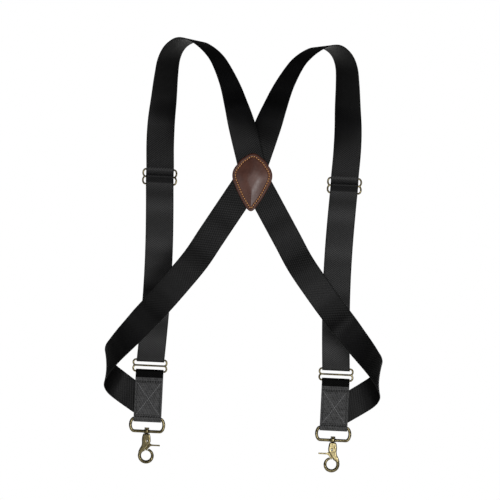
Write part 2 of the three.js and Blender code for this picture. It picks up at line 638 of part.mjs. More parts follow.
// One strap and one front column; the other side is its mirror image, with its strap underneath.
function buildSide(side, otherSide, layer, mirror) {
  const group = new THREE.Group();
  group.scale.x = mirror;
  const curves = strapCurves(layer);
  const front = new THREE.Group();
  add(group, `front_webbing_${side}`, strapStretch(0, arcStart, curves, 3), elastic);
  add(group, `shoulder_webbing_${side}`, strapStretch(arcStart, arcEnd, curves, 4), elastic);
  add(group, `back_webbing_${side}`, strapStretch(arcEnd, crossStart, curves, 3), elastic);
  add(group, `crossing_webbing_${side}`, strapStretch(crossStart, crossEnd, curves, 3), elastic);
  add(group, `lower_back_webbing_${otherSide}`, strapStretch(crossEnd, hipStart, curves, 3), elastic);
  add(group, `hip_webbing_${otherSide}`, strapStretch(hipStart, hipEnd, curves, 4), elastic);
  add(group, `hip_end_${otherSide}`, strapStretch(hipEnd, routeEnd, curves, 4), elastic);

  add(front, `slider_frame_${side}`, wireFrame(sliderX, SLIDER_Z, SLIDER_PITCH), antiqueBrass);
  add(front, `slider_weave_${side}`, sliderWeave(), elastic);
  add(front, `slider_loop_${side}`, sliderLoop(), elastic);
  add(front, `front_run_${side}`,
    frontRun(sliderBottom - weaveReach - GAP, runLow, runFront, frontPlane + overBar), elastic);
  add(front, `return_run_${side}`,
    frontRun(sliderBottom - tailReach - GAP, runLow, returnFront, frontPlane - overBar), elastic);
  add(front, `connector_loop_${side}`, connectorLoop(), elastic);
  add(front, `connector_frame_${side}`, wireFrame(-COLUMN_X, CONNECTOR_Z, CONNECTOR_PITCH), antiqueBrass);
  add(front, `connector_strip_${side}`, connectorStrip(), elastic);
  add(front, `tab_${side}`, tab(), tabWeb);

  add(front, `hook_ring_${side}`, hookRing(), antiqueBrass);
  add(front, `hook_body_${side}`, hookBody(), antiqueBrass);
  add(front, `trigger_${side}`, trigger(), antiqueBrass);
  add(front, `trigger_pin_${side}`, pin(), steel);
  add(front, `trigger_spring_${side}`, spring(), steel);
  group.add(front);
  suspenders.add(group);
}

buildSide("left", "right", -1, 1);
buildSide("right", "left", 1, -1);

export default suspenders;
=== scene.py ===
# %% [markdown]
# # Side-clip suspenders with an X back
# Two elastic straps cross under a leather patch on the wearer's back, go over the shoulders and down the
# front, through a wire slider, round a wire connector and back up to the slider. The end of each strap
# comes round the hip into a sewn tab, which holds a ring and a swivelling trigger hook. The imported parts
# give the places and the motion. This lesson makes the surfaces that are seen.

# %% The fixed frame
import math

import bpy
import numpy as np
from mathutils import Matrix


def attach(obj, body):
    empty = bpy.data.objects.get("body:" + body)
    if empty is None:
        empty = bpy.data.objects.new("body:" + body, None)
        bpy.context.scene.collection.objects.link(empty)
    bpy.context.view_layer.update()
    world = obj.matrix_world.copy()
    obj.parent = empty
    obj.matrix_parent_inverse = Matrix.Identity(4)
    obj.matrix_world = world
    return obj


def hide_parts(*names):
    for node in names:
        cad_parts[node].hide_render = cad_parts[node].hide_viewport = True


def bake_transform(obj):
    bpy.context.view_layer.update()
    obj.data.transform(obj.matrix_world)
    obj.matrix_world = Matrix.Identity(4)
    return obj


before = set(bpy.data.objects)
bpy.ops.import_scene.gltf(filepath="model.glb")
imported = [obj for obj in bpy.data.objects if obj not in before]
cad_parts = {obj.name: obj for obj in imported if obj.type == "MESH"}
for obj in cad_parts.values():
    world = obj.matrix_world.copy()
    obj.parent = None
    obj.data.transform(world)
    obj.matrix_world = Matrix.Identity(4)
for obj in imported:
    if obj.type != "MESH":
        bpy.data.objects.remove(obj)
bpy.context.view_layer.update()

# %% [markdown]
# Sizes are in millimetres, as a maker would write them down, and become metres when a mesh is made.
# The layers follow from the webbing's thickness: two straps lie on each other at the crossing, and the
# strap passes in front of the slider's bars with its own thickness and a small gap.

# %% Sizes
MM = 0.001
GAP = 0.3
WEB_WIDTH = 38.1
WEB_THICK = 1.5
COLUMN_X = 128
SLIDER_X = 127
DEPTH = 80
SHOULDER_Z = 190
SLIDER_Z = 1.4
CONNECTOR_Z = -258.2
TAB_TOP_Z = -274.5
TAB_BAR_Z = -331
FRONT_BOW = 4.5
SLIDER_PITCH = 10.1
CONNECTOR_PITCH = 8
FRAME_WIRE = 2.5
PATCH_BACKING_THICK = 1.5
PATCH_OUTER_THICK = 2.2
WEAVE_REACH = 2.2  # the webbing is straight from this far past the bars of slider and connector
TAIL_REACH = 3.4  # the sewn end hangs this far below the slider's lower bar

LAYER = WEB_THICK + GAP
PLY = WEB_THICK + 2 * GAP
STRAP_Y = -(PATCH_BACKING_THICK + 2 * GAP + WEB_THICK + GAP / 2)
FRONT_Y = STRAP_Y + DEPTH
OVER_BAR = FRAME_WIRE / 2 + GAP + WEB_THICK / 2
RUN_Y = FRONT_Y - OVER_BAR
RETURN_Y = RUN_Y - LAYER
TAIL_Y = RETURN_Y - LAYER
SLIDER_TOP = SLIDER_Z + SLIDER_PITCH
SLIDER_LOW = SLIDER_Z - SLIDER_PITCH
CONNECTOR_TOP = CONNECTOR_Z + CONNECTOR_PITCH
CONNECTOR_LOW = CONNECTOR_Z - CONNECTOR_PITCH
SIDES = {"left": 1, "right": -1}  # the right side is the left one with its x turned round
OTHER = {"left": "right", "right": "left"}
print(f"front plane at {FRONT_Y:.2f} mm, strap in front of the bars at {RUN_Y:.2f} mm")

# %% [markdown]
# Every new piece is a grid of points: one direction runs along the piece and the other runs round its
# section. One function turns points and faces into a mesh, and another numbers the grid's faces.

# %% From a grid to a mesh
def new_mesh(name, points, faces, uv=None, sharp_degrees=50.0):
    """points in mm, faces as lists of indices, uv as one pair for each corner of each face."""
    mesh = bpy.data.meshes.new(name)
    mesh.from_pydata((np.asarray(points, float) * MM).tolist(), [], faces)
    if uv is not None:
        layer = mesh.uv_layers.new(name="UVMap")
        layer.data.foreach_set("uv", np.asarray(uv, np.float32).ravel())
    mesh.polygons.foreach_set("use_smooth", np.ones(len(mesh.polygons), bool))
    mesh.set_sharp_from_angle(angle=math.radians(sharp_degrees))
    mesh.validate()
    piece = bpy.data.objects.new(name, mesh)
    bpy.context.scene.collection.objects.link(piece)
    return piece


def grid_faces(rows, columns, closed_rows=False):
    """Quads between neighbouring rows and columns of a grid whose points are numbered row by row. The
    last column is joined to the first."""
    row = np.arange(rows if closed_rows else rows - 1)[:, None]
    column = np.arange(columns)[None, :]
    next_row = (row + 1) % rows
    next_column = (column + 1) % columns
    corners = (row * columns + column, next_row * columns + column,
               next_row * columns + next_column, row * columns + next_column)
    return np.stack(np.broadcast_arrays(*corners), -1).reshape(-1, 4)


print("a tube of 3 rings with 8 points each has", len(grid_faces(3, 8)), "faces")

# %% [markdown]
# Faces have to point outwards. A closed skin whose faces point outwards has a positive volume, so the
# sign of the volume tells whether they have to be turned round. Each face also gets UV places in
# millimetres, so that a weave can be given at its real size and bends with the webbing.

# %% A section carried along
def volume(points, quads):
    """Signed volume: a sixth of the triple product of each triangle's corners, summed."""
    a, b, c, d = (points[quads[:, k]] for k in range(4))
    cross = np.cross(b, c) + np.cross(c, d)
    return float(np.einsum("ij,ij->i", a, cross).sum()) / 6


def carried(grid, uv_along=None, uv_round=None, closed=False):
    """A section carried along: grid[i, j] is point j of section i. Open ends are closed with caps.
    Returns points, faces and UV pairs for the faces' corners."""
    rows, columns = grid.shape[:2]
    points = grid.reshape(-1, 3)
    quads = grid_faces(rows, columns, closed_rows=closed)
    along = np.arange(rows, dtype=float) if uv_along is None else np.asarray(uv_along, float)
    around = np.arange(columns + 1, dtype=float) if uv_round is None else np.asarray(uv_round, float)
    if closed:
        along = np.append(along, 2 * along[-1] - along[-2])
    row = np.arange(rows if closed else rows - 1)[:, None]
    column = np.arange(columns)[None, :]
    corners = [np.stack(np.broadcast_arrays(around[column + right], along[row + ahead]), -1)
               for right, ahead in ((0, 0), (0, 1), (1, 1), (1, 0))]
    uv = np.stack(corners, 2).reshape(-1, 4, 2)
    inward = volume(points, quads) < 0
    if inward:
        quads, uv = quads[:, ::-1], uv[:, ::-1]
    faces, uv = quads.tolist(), uv.reshape(-1, 2)
    if not closed:
        first = list(range(columns))
        last = [(rows - 1) * columns + k for k in first]
        faces += [first[::-1], last] if inward else [first, last[::-1]]
        uv = np.vstack([uv, np.full((2 * columns, 2), around[0])])
    return points, faces, uv


def skin(name, *parts, sharp_degrees=50.0):
    """One object of one or more carried sections."""
    points, faces, start = [], [], 0
    for part_points, part_faces, _ in parts:
        points.append(part_points)
        faces += [[start + k for k in face] for face in part_faces]
        start += len(part_points)
    return new_mesh(name, np.vstack(points), faces, np.vstack([part[2] for part in parts]), sharp_degrees)


SQUARE = np.array([[0, 0, 0], [1, 0, 0], [1, 1, 0], [0, 1, 0]], float)
cube_points, cube_faces, _ = carried(np.stack([SQUARE, SQUARE + [0, 0, 1]]))
print("a square carried once along is a cube:", len(cube_points), "points,", len(cube_faces), "faces")

# %% [markdown]
# A few small tools are used by every piece: directions along a line, distances along it, a soft bump for
# ridges and grooves, and one function that gives a piece its material and its place among the parts.

# %% Small tools
def unit(vectors):
    """Each vector divided by its length."""
    return vectors / np.linalg.norm(vectors, axis=-1, keepdims=True)


def directions(path):
    """Tangents: the chord from each point's neighbour before to its neighbour after."""
    return unit(np.gradient(path, axis=0))


def distance_along(path):
    """Running sum of the lengths of the chords, from nought at the first point."""
    return np.concatenate([[0.0], np.cumsum(np.linalg.norm(np.diff(path, axis=0), axis=1))])


def bell(place, middle, width):
    """One at the middle, falling on both sides: e to the minus square of the distance over the width."""
    return np.exp(-((place - middle) / width) ** 2)


def finish(piece, body, slot, material, *nodes):
    """Gives a piece its finish, lets it ride on its body and hides the imported parts that it stands for."""
    piece.data.materials.append(material)
    if nodes:
        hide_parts(*nodes)
    if body:
        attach(piece, body)
    return piece


print("a bell of width 2 is", round(float(bell(2.0, 0.0, 2.0)), 2), "high at a distance of 2")

# %% [markdown]
# ## Materials
# A material is a small graph of nodes. `node` adds one node with its settings and its inputs, so that each
# finish below reads from the pattern to the shader. Colours are written as they look on a screen and are
# turned into the linear light that the renderer works in. A pattern's size is given in millimetres.

# %% Helpers for materials
def linear(hex_colour):
    """sRGB hex to linear RGBA: each channel is (c + 0.055) / 1.055 to the power 2.4, or c / 12.92."""
    channels = [int(hex_colour[k:k + 2], 16) / 255 for k in (1, 3, 5)]
    return [c / 12.92 if c <= 0.04045 else ((c + 0.055) / 1.055) ** 2.4 for c in channels] + [1.0]


def plug(tree, target, inputs):
    """Each input, found by its name or number, takes a plain value or the socket of another node."""
    for key, value in inputs.items():
        if isinstance(value, bpy.types.NodeSocket):
            tree.links.new(value, target.inputs[key])
        else:
            target.inputs[key].default_value = value


def node(tree, kind, inputs, output=0, **settings):
    """Adds one node with its settings and inputs, and returns one of its outputs."""
    made = tree.nodes.new("ShaderNode" + kind)
    for name, value in settings.items():
        setattr(made, name, value)
    plug(tree, made, inputs)
    return made.outputs[output]


def new_material(name):
    """A new material, its tree of nodes and the shader in it."""
    material = bpy.data.materials.new(name)
    material.use_nodes = True
    return material, material.node_tree, material.node_tree.nodes["Principled BSDF"]


def per_metre(spacing_mm):
    """A texture's scale: how many of its cells lie in a metre, which is one over the spacing."""
    return 1 / (spacing_mm * MM)


MIX_SHARE, MIX_A, MIX_B, MIX_COLOUR = 0, 6, 7, 2  # where the Mix node keeps its colour sockets
print("black webbing is", [round(c, 4) for c in linear("#1a1a1b")[:3]], "in linear light")

# %% [markdown]
# Woven elastic is rubber threads under tension, covered by black polyester that is woven across them. A
# plain weave goes over and under in turn, and the product of a sine across the band and a sine along it is
# just that: high and low in a chequer. A real rib is 0.9 mm wide and a real pick 0.5 mm long. They are drawn
# two and three times as coarse, so that they still show in a view of the whole piece. Polyester is smooth
# enough for a soft gloss where it faces the light, and it goes black where it turns away. Slow bands of
# painted shade and painted light run across the webbing, as darker and lighter stretches of the same weave,
# and the doubled length below the slider has a lighter copy of the finish, which is painted light.

# %% Woven elastic
RIB_MM = 1.9
PICK_MM = 1.5
SELVEDGE_MM = 1.5
SELVEDGE_FADE_MM = 0.3
# The length of the painted shade bands along the webbing.
SHADE_BAND_MM = 45.0


def woven_elastic(name, low, high, gloss):
    """Low and high are the colours of the sunken and the raised threads in the lighter stretches of the
    painted shade bands; in the darker stretches they are painted darker, towards near black.
    """
    material, tree, shader = new_material(name)
    uv = node(tree, "TexCoord", {}, "UV")
    across, along = (node(tree, "SeparateXYZ", {0: uv}, axis) for axis in "XY")
    rib_turn = node(tree, "Math", {0: across, 1: math.pi / RIB_MM}, operation="MULTIPLY")
    pick_turn = node(tree, "Math", {0: along, 1: math.pi / PICK_MM}, operation="MULTIPLY")
    rib = node(tree, "Math", {0: rib_turn}, operation="SINE")
    pick = node(tree, "Math", {0: pick_turn}, operation="SINE")
    weave = node(tree, "Math", {0: rib, 1: pick}, operation="MULTIPLY")
    height = node(tree, "MapRange", {"Value": weave, "From Min": -1.0, "From Max": 1.0})
    # Slow bands of painted shade and painted light across the webbing, a few centimetres long.
    shade_band_noise = node(tree, "TexNoise", {"W": along, "Scale": 1 / SHADE_BAND_MM, "Detail": 1.0},
                   noise_dimensions="1D")
    shade_bands = node(tree, "MapRange", {"Value": shade_band_noise, "From Min": 0.35, "From Max": 0.65})
    thread = node(tree, "Mix", {MIX_SHARE: height, MIX_A: linear(low), MIX_B: linear(high)}, MIX_COLOUR,
                  data_type="RGBA")
    # Painted shade: the thread colours darkened towards near black, for the dark stretches of the bands.
    shaded_thread = node(tree, "Mix", {MIX_SHARE: height, MIX_A: linear("#010101"), MIX_B: linear(low)}, MIX_COLOUR,
                data_type="RGBA")
    body = node(tree, "Mix", {MIX_SHARE: shade_bands, MIX_A: shaded_thread, MIX_B: thread}, MIX_COLOUR, data_type="RGBA")
    # The selvedge, about the outer 1.5 mm on each side, is drawn darker.
    from_middle = node(tree, "Math", {0: across}, operation="ABSOLUTE")
    selvedge_start = WEB_WIDTH / 2 - SELVEDGE_MM
    selvedge = node(tree, "MapRange", {"Value": from_middle, "From Min": selvedge_start,
                                       "From Max": selvedge_start + SELVEDGE_FADE_MM, "To Max": 0.7})
    colour = node(tree, "Mix", {MIX_SHARE: selvedge, MIX_A: body, MIX_B: linear("#030303")}, MIX_COLOUR,
                  data_type="RGBA")
    rough = node(tree, "MapRange", {"Value": shade_bands, "To Min": 0.44, "To Max": 0.36})
    relief = node(tree, "Bump", {"Strength": 0.9, "Distance": 0.25 * MM, "Height": height})
    plug(tree, shader, {"Base Color": colour, "Roughness": rough, "Normal": relief,
                        "Specular IOR Level": gloss})
    return material


ELASTIC = woven_elastic("black_woven_elastic", "#040405", "#161617", 0.2)
# Painted light: the same webbing drawn lighter, for the doubled length below the slider.
PAINTED_LIGHT_ELASTIC = woven_elastic("painted_light_black_woven_elastic", "#151516", "#3d3d3e", 0.25)
# Painted shade: the strip round the connector's lower bar is drawn near black and almost without gloss.
PAINTED_SHADE_ELASTIC = woven_elastic("painted_shade_black_woven_elastic", "#020202", "#060606", 0.04)
print("finishes:", ELASTIC.name, PAINTED_LIGHT_ELASTIC.name, PAINTED_SHADE_ELASTIC.name)

# %% [markdown]
# The tab is plain polypropylene webbing in a twill weave, so its threads step over each other on a slant.
# Its colour is a dark grey beside the elastic's black, and it is duller. A real twill line is 1 mm wide. It
# is drawn at 3.4 mm, so that it shows. Wear has raised a pale fuzz, in spots about 3 mm across.

# %% Twill webbing
TWILL_MM = 3.4
TWILL_SLANT = 0.6  # how far a line goes across for each millimetre along
FUZZ_MM = 3.03


def twill_webbing():
    """A sine of the place along the slant, plus half a sine of the picks, is the height of the threads."""
    material, tree, shader = new_material("dark_grey_twill_webbing")
    uv = node(tree, "TexCoord", {}, "UV")
    across, along = (node(tree, "SeparateXYZ", {0: uv}, axis) for axis in "XY")
    slant = node(tree, "Math", {0: along, 1: TWILL_SLANT, 2: across}, operation="MULTIPLY_ADD")
    slant_turn = node(tree, "Math", {0: slant, 1: 2 * math.pi / TWILL_MM}, operation="MULTIPLY")
    pick_turn = node(tree, "Math", {0: along, 1: math.pi / PICK_MM}, operation="MULTIPLY")
    line = node(tree, "Math", {0: slant_turn}, operation="SINE")
    pick = node(tree, "Math", {0: pick_turn}, operation="SINE")
    both = node(tree, "Math", {0: pick, 1: 0.5, 2: line}, operation="MULTIPLY_ADD")
    height = node(tree, "MapRange", {"Value": both, "From Min": -1.5, "From Max": 1.5})
    place = node(tree, "TexCoord", {}, "Object")
    fuzz = node(tree, "TexNoise", {"Vector": place, "Scale": per_metre(FUZZ_MM), "Detail": 4.0})
    thread = node(tree, "Mix", {MIX_SHARE: height, MIX_A: linear("#0b0b0c"), MIX_B: linear("#464647")},
                  MIX_COLOUR, data_type="RGBA")
    worn = node(tree, "MapRange", {"Value": fuzz, "From Min": 0.35, "From Max": 0.8, "To Max": 0.6})
    colour = node(tree, "Mix", {MIX_SHARE: worn, MIX_A: thread, MIX_B: linear("#5f5f60")}, MIX_COLOUR,
                  data_type="RGBA")
    relief = node(tree, "Bump", {"Strength": 0.8, "Distance": 0.2 * MM, "Height": height})
    plug(tree, shader, {"Base Color": colour, "Normal": relief, "Roughness": 0.75, "Sheen Weight": 0.12,
                        "Sheen Roughness": 0.5})
    return material


TWILL = twill_webbing()
print("finish:", TWILL.name)

# %% [markdown]
# Sewing thread is two or three plies twisted together. The twist shows as slanted bands across each
# stitch. Polyester thread is a little glossy, and waxed linen, used for saddle stitching, is glossier.

# %% Sewing threads
TWIST_MM = 2.0  # the wave turns through ten radians in this, so its bands are 1.3 mm apart along an axis


def twisted_thread(name, dark, light, roughness):
    """A sine of the place along the object's diagonal, bent by noise, shades from dark to light."""
    material, tree, shader = new_material(name)
    place = node(tree, "TexCoord", {}, "Object")
    twist = node(tree, "TexWave", {"Vector": place, "Scale": per_metre(TWIST_MM), "Distortion": 1.5}, 1,
                 bands_direction="DIAGONAL")
    colour = node(tree, "Mix", {MIX_SHARE: twist, MIX_A: linear(dark), MIX_B: linear(light)}, MIX_COLOUR,
                  data_type="RGBA")
    relief = node(tree, "Bump", {"Strength": 0.6, "Distance": 0.06 * MM, "Height": twist})
    plug(tree, shader, {"Base Color": colour, "Normal": relief, "Roughness": roughness})
    return material


GREY_THREAD = twisted_thread("grey_polyester_thread", "#6a6a6c", "#98989a", 0.55)
BLACK_THREAD = twisted_thread("black_polyester_thread", "#040405", "#121213", 0.55)
WAXED_THREAD = twisted_thread("tan_waxed_linen_thread", "#c07a3e", "#f0bb7e", 0.4)
print("finishes:", GREY_THREAD.name, BLACK_THREAD.name, WAXED_THREAD.name)

# %% [markdown]
# The patch is smooth chrome-tanned leather with a glazed finish: the grain is filled and polished, so it
# reflects softly in a broad sheen, and small pores and fine creases still break it up. The dye took
# unevenly, in clouds about 2 cm wide.

# %% Glazed leather
DYE_MM = 22.2
PORE_MM = 0.8
CREASE_MM = 2.38


def glazed_leather():
    """The height of the grain is the distance to the nearest pore, six tenths of it, plus the creases."""
    material, tree, shader = new_material("brown_glazed_leather")
    place = node(tree, "TexCoord", {}, "Object")
    dye = node(tree, "TexNoise", {"Vector": place, "Scale": per_metre(DYE_MM), "Detail": 4.0})
    pores = node(tree, "TexVoronoi", {"Vector": place, "Scale": per_metre(PORE_MM)}, "Distance")
    crease = node(tree, "TexNoise", {"Vector": place, "Scale": per_metre(CREASE_MM), "Detail": 6.0})
    spread = node(tree, "MapRange", {"Value": dye, "From Min": 0.3, "From Max": 0.7})
    base = node(tree, "Mix", {MIX_SHARE: spread, MIX_A: linear("#46241a"), MIX_B: linear("#5c3426")},
                MIX_COLOUR, data_type="RGBA")
    lines = node(tree, "MapRange", {"Value": crease, "From Min": 0.4, "From Max": 0.8, "To Max": 0.3})
    colour = node(tree, "Mix", {MIX_SHARE: lines, MIX_A: base, MIX_B: linear("#6c4030")}, MIX_COLOUR,
                  data_type="RGBA")
    rough = node(tree, "MapRange", {"Value": crease, "To Min": 0.26, "To Max": 0.42})
    grain = node(tree, "Math", {0: pores, 1: 0.6, 2: crease}, operation="MULTIPLY_ADD")
    relief = node(tree, "Bump", {"Strength": 0.25, "Distance": 0.1 * MM, "Height": grain})
    plug(tree, shader, {"Base Color": colour, "Roughness": rough, "Normal": relief,
                        "Specular IOR Level": 0.55})
    return material


LEATHER = glazed_leather()
print("finish:", LEATHER.name)

# %% [markdown]
# The lining is the same hide with its flesh side out. Suede has a nap of short fibres, which lies one way
# or the other in patches and is dull from every side.

# %% Suede
NAP_MM = 0.667
BRUSHED_MM = 16.7


def suede_leather():
    """Patches of two dyes, lightened where the nap's noise is high. The same noise is the relief."""
    material, tree, shader = new_material("dark_brown_suede")
    place = node(tree, "TexCoord", {}, "Object")
    nap = node(tree, "TexNoise", {"Vector": place, "Scale": per_metre(NAP_MM), "Detail": 4.0})
    brushed = node(tree, "TexNoise", {"Vector": place, "Scale": per_metre(BRUSHED_MM), "Detail": 3.0})
    patches = node(tree, "MapRange", {"Value": brushed, "From Min": 0.3, "From Max": 0.7})
    base = node(tree, "Mix", {MIX_SHARE: patches, MIX_A: linear("#2a1b15"), MIX_B: linear("#3e2a20")},
                MIX_COLOUR, data_type="RGBA")
    fibres = node(tree, "MapRange", {"Value": nap, "To Max": 0.4})
    colour = node(tree, "Mix", {MIX_SHARE: fibres, MIX_A: base, MIX_B: linear("#584034")}, MIX_COLOUR,
                  data_type="RGBA")
    relief = node(tree, "Bump", {"Strength": 0.7, "Distance": 0.15 * MM, "Height": nap})
    plug(tree, shader, {"Base Color": colour, "Normal": relief, "Roughness": 0.9, "Sheen Weight": 0.4,
                        "Sheen Roughness": 0.4})
    return material


SUEDE = suede_leather()
print("finish:", SUEDE.name)

# %% [markdown]
# The hardware is zinc and steel wire, brass plated, darkened in a chemical bath and then rubbed back, which
# is why it is called antique brass: dark brown where the rubbing missed, and a pale straw colour where it
# did not. Metal takes its look from what it reflects, so the colour goes on the shader's base, and the
# dark film is also the rougher one.

# %% Antique brass
PATINA_MM = 3.333


def antique_brass():
    """One noise is the film: it darkens and roughens the plating and raises it by a hair."""
    material, tree, shader = new_material("antique_brass_plating")
    place = node(tree, "TexCoord", {}, "Object")
    patina = node(tree, "TexNoise", {"Vector": place, "Scale": per_metre(PATINA_MM), "Detail": 5.0})
    film = node(tree, "MapRange", {"Value": patina, "From Min": 0.3, "From Max": 0.7})
    colour = node(tree, "Mix", {MIX_SHARE: film, MIX_A: linear("#a2966f"), MIX_B: linear("#3a3220")},
                  MIX_COLOUR, data_type="RGBA")
    rough = node(tree, "MapRange", {"Value": film, "To Min": 0.18, "To Max": 0.3})
    relief = node(tree, "Bump", {"Strength": 0.2, "Distance": 0.04 * MM, "Height": patina})
    plug(tree, shader, {"Base Color": colour, "Roughness": rough, "Normal": relief, "Metallic": 1.0})
    return material


BRASS = antique_brass()
print("finish:", BRASS.name)

# %% [markdown]
# The rivet and the spring are drawn steel, left bright. Drawing leaves fine scratches.

# %% Drawn steel
SCRATCH_MM = 1.111


def drawn_steel():
    """One fine noise shades the steel and scratches it."""
    material, tree, shader = new_material("drawn_steel")
    place = node(tree, "TexCoord", {}, "Object")
    scratches = node(tree, "TexNoise", {"Vector": place, "Scale": per_metre(SCRATCH_MM), "Detail": 3.0})
    spread = node(tree, "MapRange", {"Value": scratches, "From Min": 0.3, "From Max": 0.7})
    colour = node(tree, "Mix", {MIX_SHARE: spread, MIX_A: linear("#9a958c"), MIX_B: linear("#c9c4ba")},
                  MIX_COLOUR, data_type="RGBA")
    relief = node(tree, "Bump", {"Strength": 0.3, "Distance": 0.03 * MM, "Height": scratches})
    plug(tree, shader, {"Base Color": colour, "Normal": relief, "Roughness": 0.3, "Metallic": 1.0})
    return material


STEEL = drawn_steel()
print("finish:", STEEL.name)

# %% [markdown]
# ## The straps
# Webbing is a flat band that bends one way easily and twists a little, and hardly bends edgewise. It is
# modelled directly: a line through its middle, a direction across it at each place, and a flat section
# with a rounded edge and a slightly proud selvedge, carried along the line. The line follows a list of
# stations, and a Catmull-Rom curve passes through them all.

# %% The band's section
EDGE_ROUND = 0.55
BODY_SHARE = 0.9  # the webbing's thickness between its selvedges, as a share of the full one
BEAD_INSET = 0.8
GROOVE_INSET = 1.6
INNER_INSETS = np.array([1.0, 1.35, 1.6, 1.9, 2.4, 4.0, 7.0, 11.0])  # closer together by the selvedge


def band_section(width=WEB_WIDTH, thick=WEB_THICK):
    """Half the thickness at u across is nine tenths of the full one, more in the selvedge and less in the
    groove beside it, times a quarter-circle fall at the very edge. Returns (u, t) round the section."""
    half = width / 2
    edge = half - EDGE_ROUND * (1 - np.cos(np.linspace(0, math.pi / 2, 5)))
    u = np.concatenate([edge, half - INNER_INSETS])
    u = np.concatenate([u, -u[::-1]])
    inset = half - np.abs(u)
    rise = BODY_SHARE + 0.1 * bell(inset, BEAD_INSET, 0.45) - 0.14 * bell(inset, GROOVE_INSET, 0.3)
    fall = np.sqrt(np.clip(1 - (1 - np.clip(inset / EDGE_ROUND, 0, 1)) ** 2, 0, 1))
    t = thick / 2 * rise * fall
    top = np.stack([u, t], 1)
    low = np.stack([u[::-1], -t[::-1]], 1)[1:-1]
    return np.vstack([top, low])


def band(name, middle, across, width=WEB_WIDTH, thick=WEB_THICK, start_mm=0.0):
    """Point (i, j) is the middle at station i, plus u_j across it and t_j along its face's normal."""
    along = directions(middle)
    side = unit(across)
    face = unit(np.cross(along, side))
    section = band_section(width, thick)
    grid = middle[:, None] + side[:, None] * section[None, :, :1] + face[:, None] * section[None, :, 1:]
    around = np.append(section[:, 0], section[0, 0])
    return skin(name, carried(grid, start_mm + distance_along(middle), around))


def through_stations(stations, places):
    """Catmull-Rom: between stations 1 and 2, a cubic whose slopes are half of (2 - 0) and (3 - 1)."""
    stations = np.asarray(stations, float)
    before = 2 * stations[0] - stations[1]
    after = 2 * stations[-1] - stations[-2]
    padded = np.vstack([before, stations, after])
    k = np.clip(np.floor(places).astype(int), 0, len(stations) - 2)
    t = (places - k)[:, None]
    p0, p1, p2, p3 = (padded[k + n] for n in range(4))
    m1, m2 = (p2 - p0) / 2, (p3 - p1) / 2
    return ((2 * t**3 - 3 * t**2 + 1) * p1 + (t**3 - 2 * t**2 + t) * m1
            + (3 * t**2 - 2 * t**3) * p2 + (t**3 - t**2) * m2)


print("points round the band's section:", len(band_section()))

# %% [markdown]
# The route of one strap, from the slider over the left shoulder to the right hip. Each row gives x as a
# share of the column's distance, y as a share of the depth, z as a share of the shoulder's height (above
# the patch) or of the connector's drop (below it), the band's turn about the vertical and its bank in
# degrees, and how many half layers it stands off the plane between the two straps. The other strap is its
# mirror image, and lies underneath at the crossing.

# %% The strap's route
ROUTE = np.array([
    [-1.004, 0.971, 0.25, 1, -1, 0],
    [-1.003, 1.0, 0.414, 11, -2, 0],
    [-0.988, 1.03, 0.578, 22, -2, 0],
    [-0.974, 1.01, 0.746, 32, 0, 0],
    [-0.953, 0.93, 0.864, 37, 1, 0],
    [-0.895, 0.79, 0.949, 41, -2, 0],
    [-0.793, 0.63, 1.0, 45, -6, 0],
    [-0.683, 0.47, 1.0, 46, -6, 0],
    [-0.589, 0.34, 0.971, 48, -5, 0],
    [-0.486, 0.235, 0.916, 51, -2, 0],
    [-0.4, 0.16, 0.843, 53, 2, 0],
    [-0.29, 0.08, 0.699, 46, 7, 0.3],
    [-0.207, 0.03, 0.546, 33, 12, 1.4],
    [-0.131, 0.005, 0.389, 13, 14, 2.7],
    [-0.06, 0, 0.231, 0, 16, 1.3],
    [0.006, 0, 0.077, 0, 18, 1.1],
    [0.04, 0, 0.012, 0, 22, 1.1],
    [0.083, 0, -0.031, 0, 28, 1.1],
    [0.14, 0, -0.078, 0, 31, 1.1],
    [0.252, 0, -0.17, 0, 31, 1],
    [0.41, 0, -0.3, 0, 31, 0.5],
    [0.562, 0, -0.425, 0, 33, 0],
    [0.77, 0, -0.562, 0, 37, 0],
    [0.961, 0.012, -0.68, 7, 39, 0],
    [1.071, 0.037, -0.744, 15, 40, 0],
    [1.18, 0.085, -0.808, 27, 42, 0],
    [1.283, 0.16, -0.867, 38, 46, 0],
    [1.362, 0.26, -0.914, 48, 48, 0],
    [1.425, 0.39, -0.956, 56, 50, 0],
    [1.458, 0.54, -0.997, 76, 54, 0],
    [1.449, 0.71, -1.039, 110, 57, 0],
    [1.41, 0.83, -1.071, 135, 55, 0],
    [1.343, 0.962, -1.102, 162, 55, 0],
    [1.252, 1.0, -1.134, 180, 54, 0],
    [1.152, 1.0, -1.166, 180, 54, 0],
    [1.04, 1.0, -1.201, 180, 54, 0],
])
LAST_PLACE = len(ROUTE)  # places are counted in stations from the slider, which is number nought
SHOULDER_PLACE = 4  # where the front stretch ends
STEPS_PER_STATION = 14
print("the strap passes", LAST_PLACE, "stations after the slider")

# %% [markdown]
# Slack webbing is never quite flat. It ripples along its free stretches, and the ripple fades out where the
# strap is held, by the slider, at the crossing and at the tab.

# %% The strap and its ripple
RIPPLE = 2.2
RIPPLE_STATIONS = 2.6
RIPPLE_START = 1.0
HELD_OR_FREE = np.array([[0, 0], [1.2, 0], [3, 1], [8, 0.5], [12, 0.5], [13.5, 0], [20.5, 0], [22, 1],
                         [26, 1], [28, 0], [LAST_PLACE, 0]])  # place, and how free the strap is there


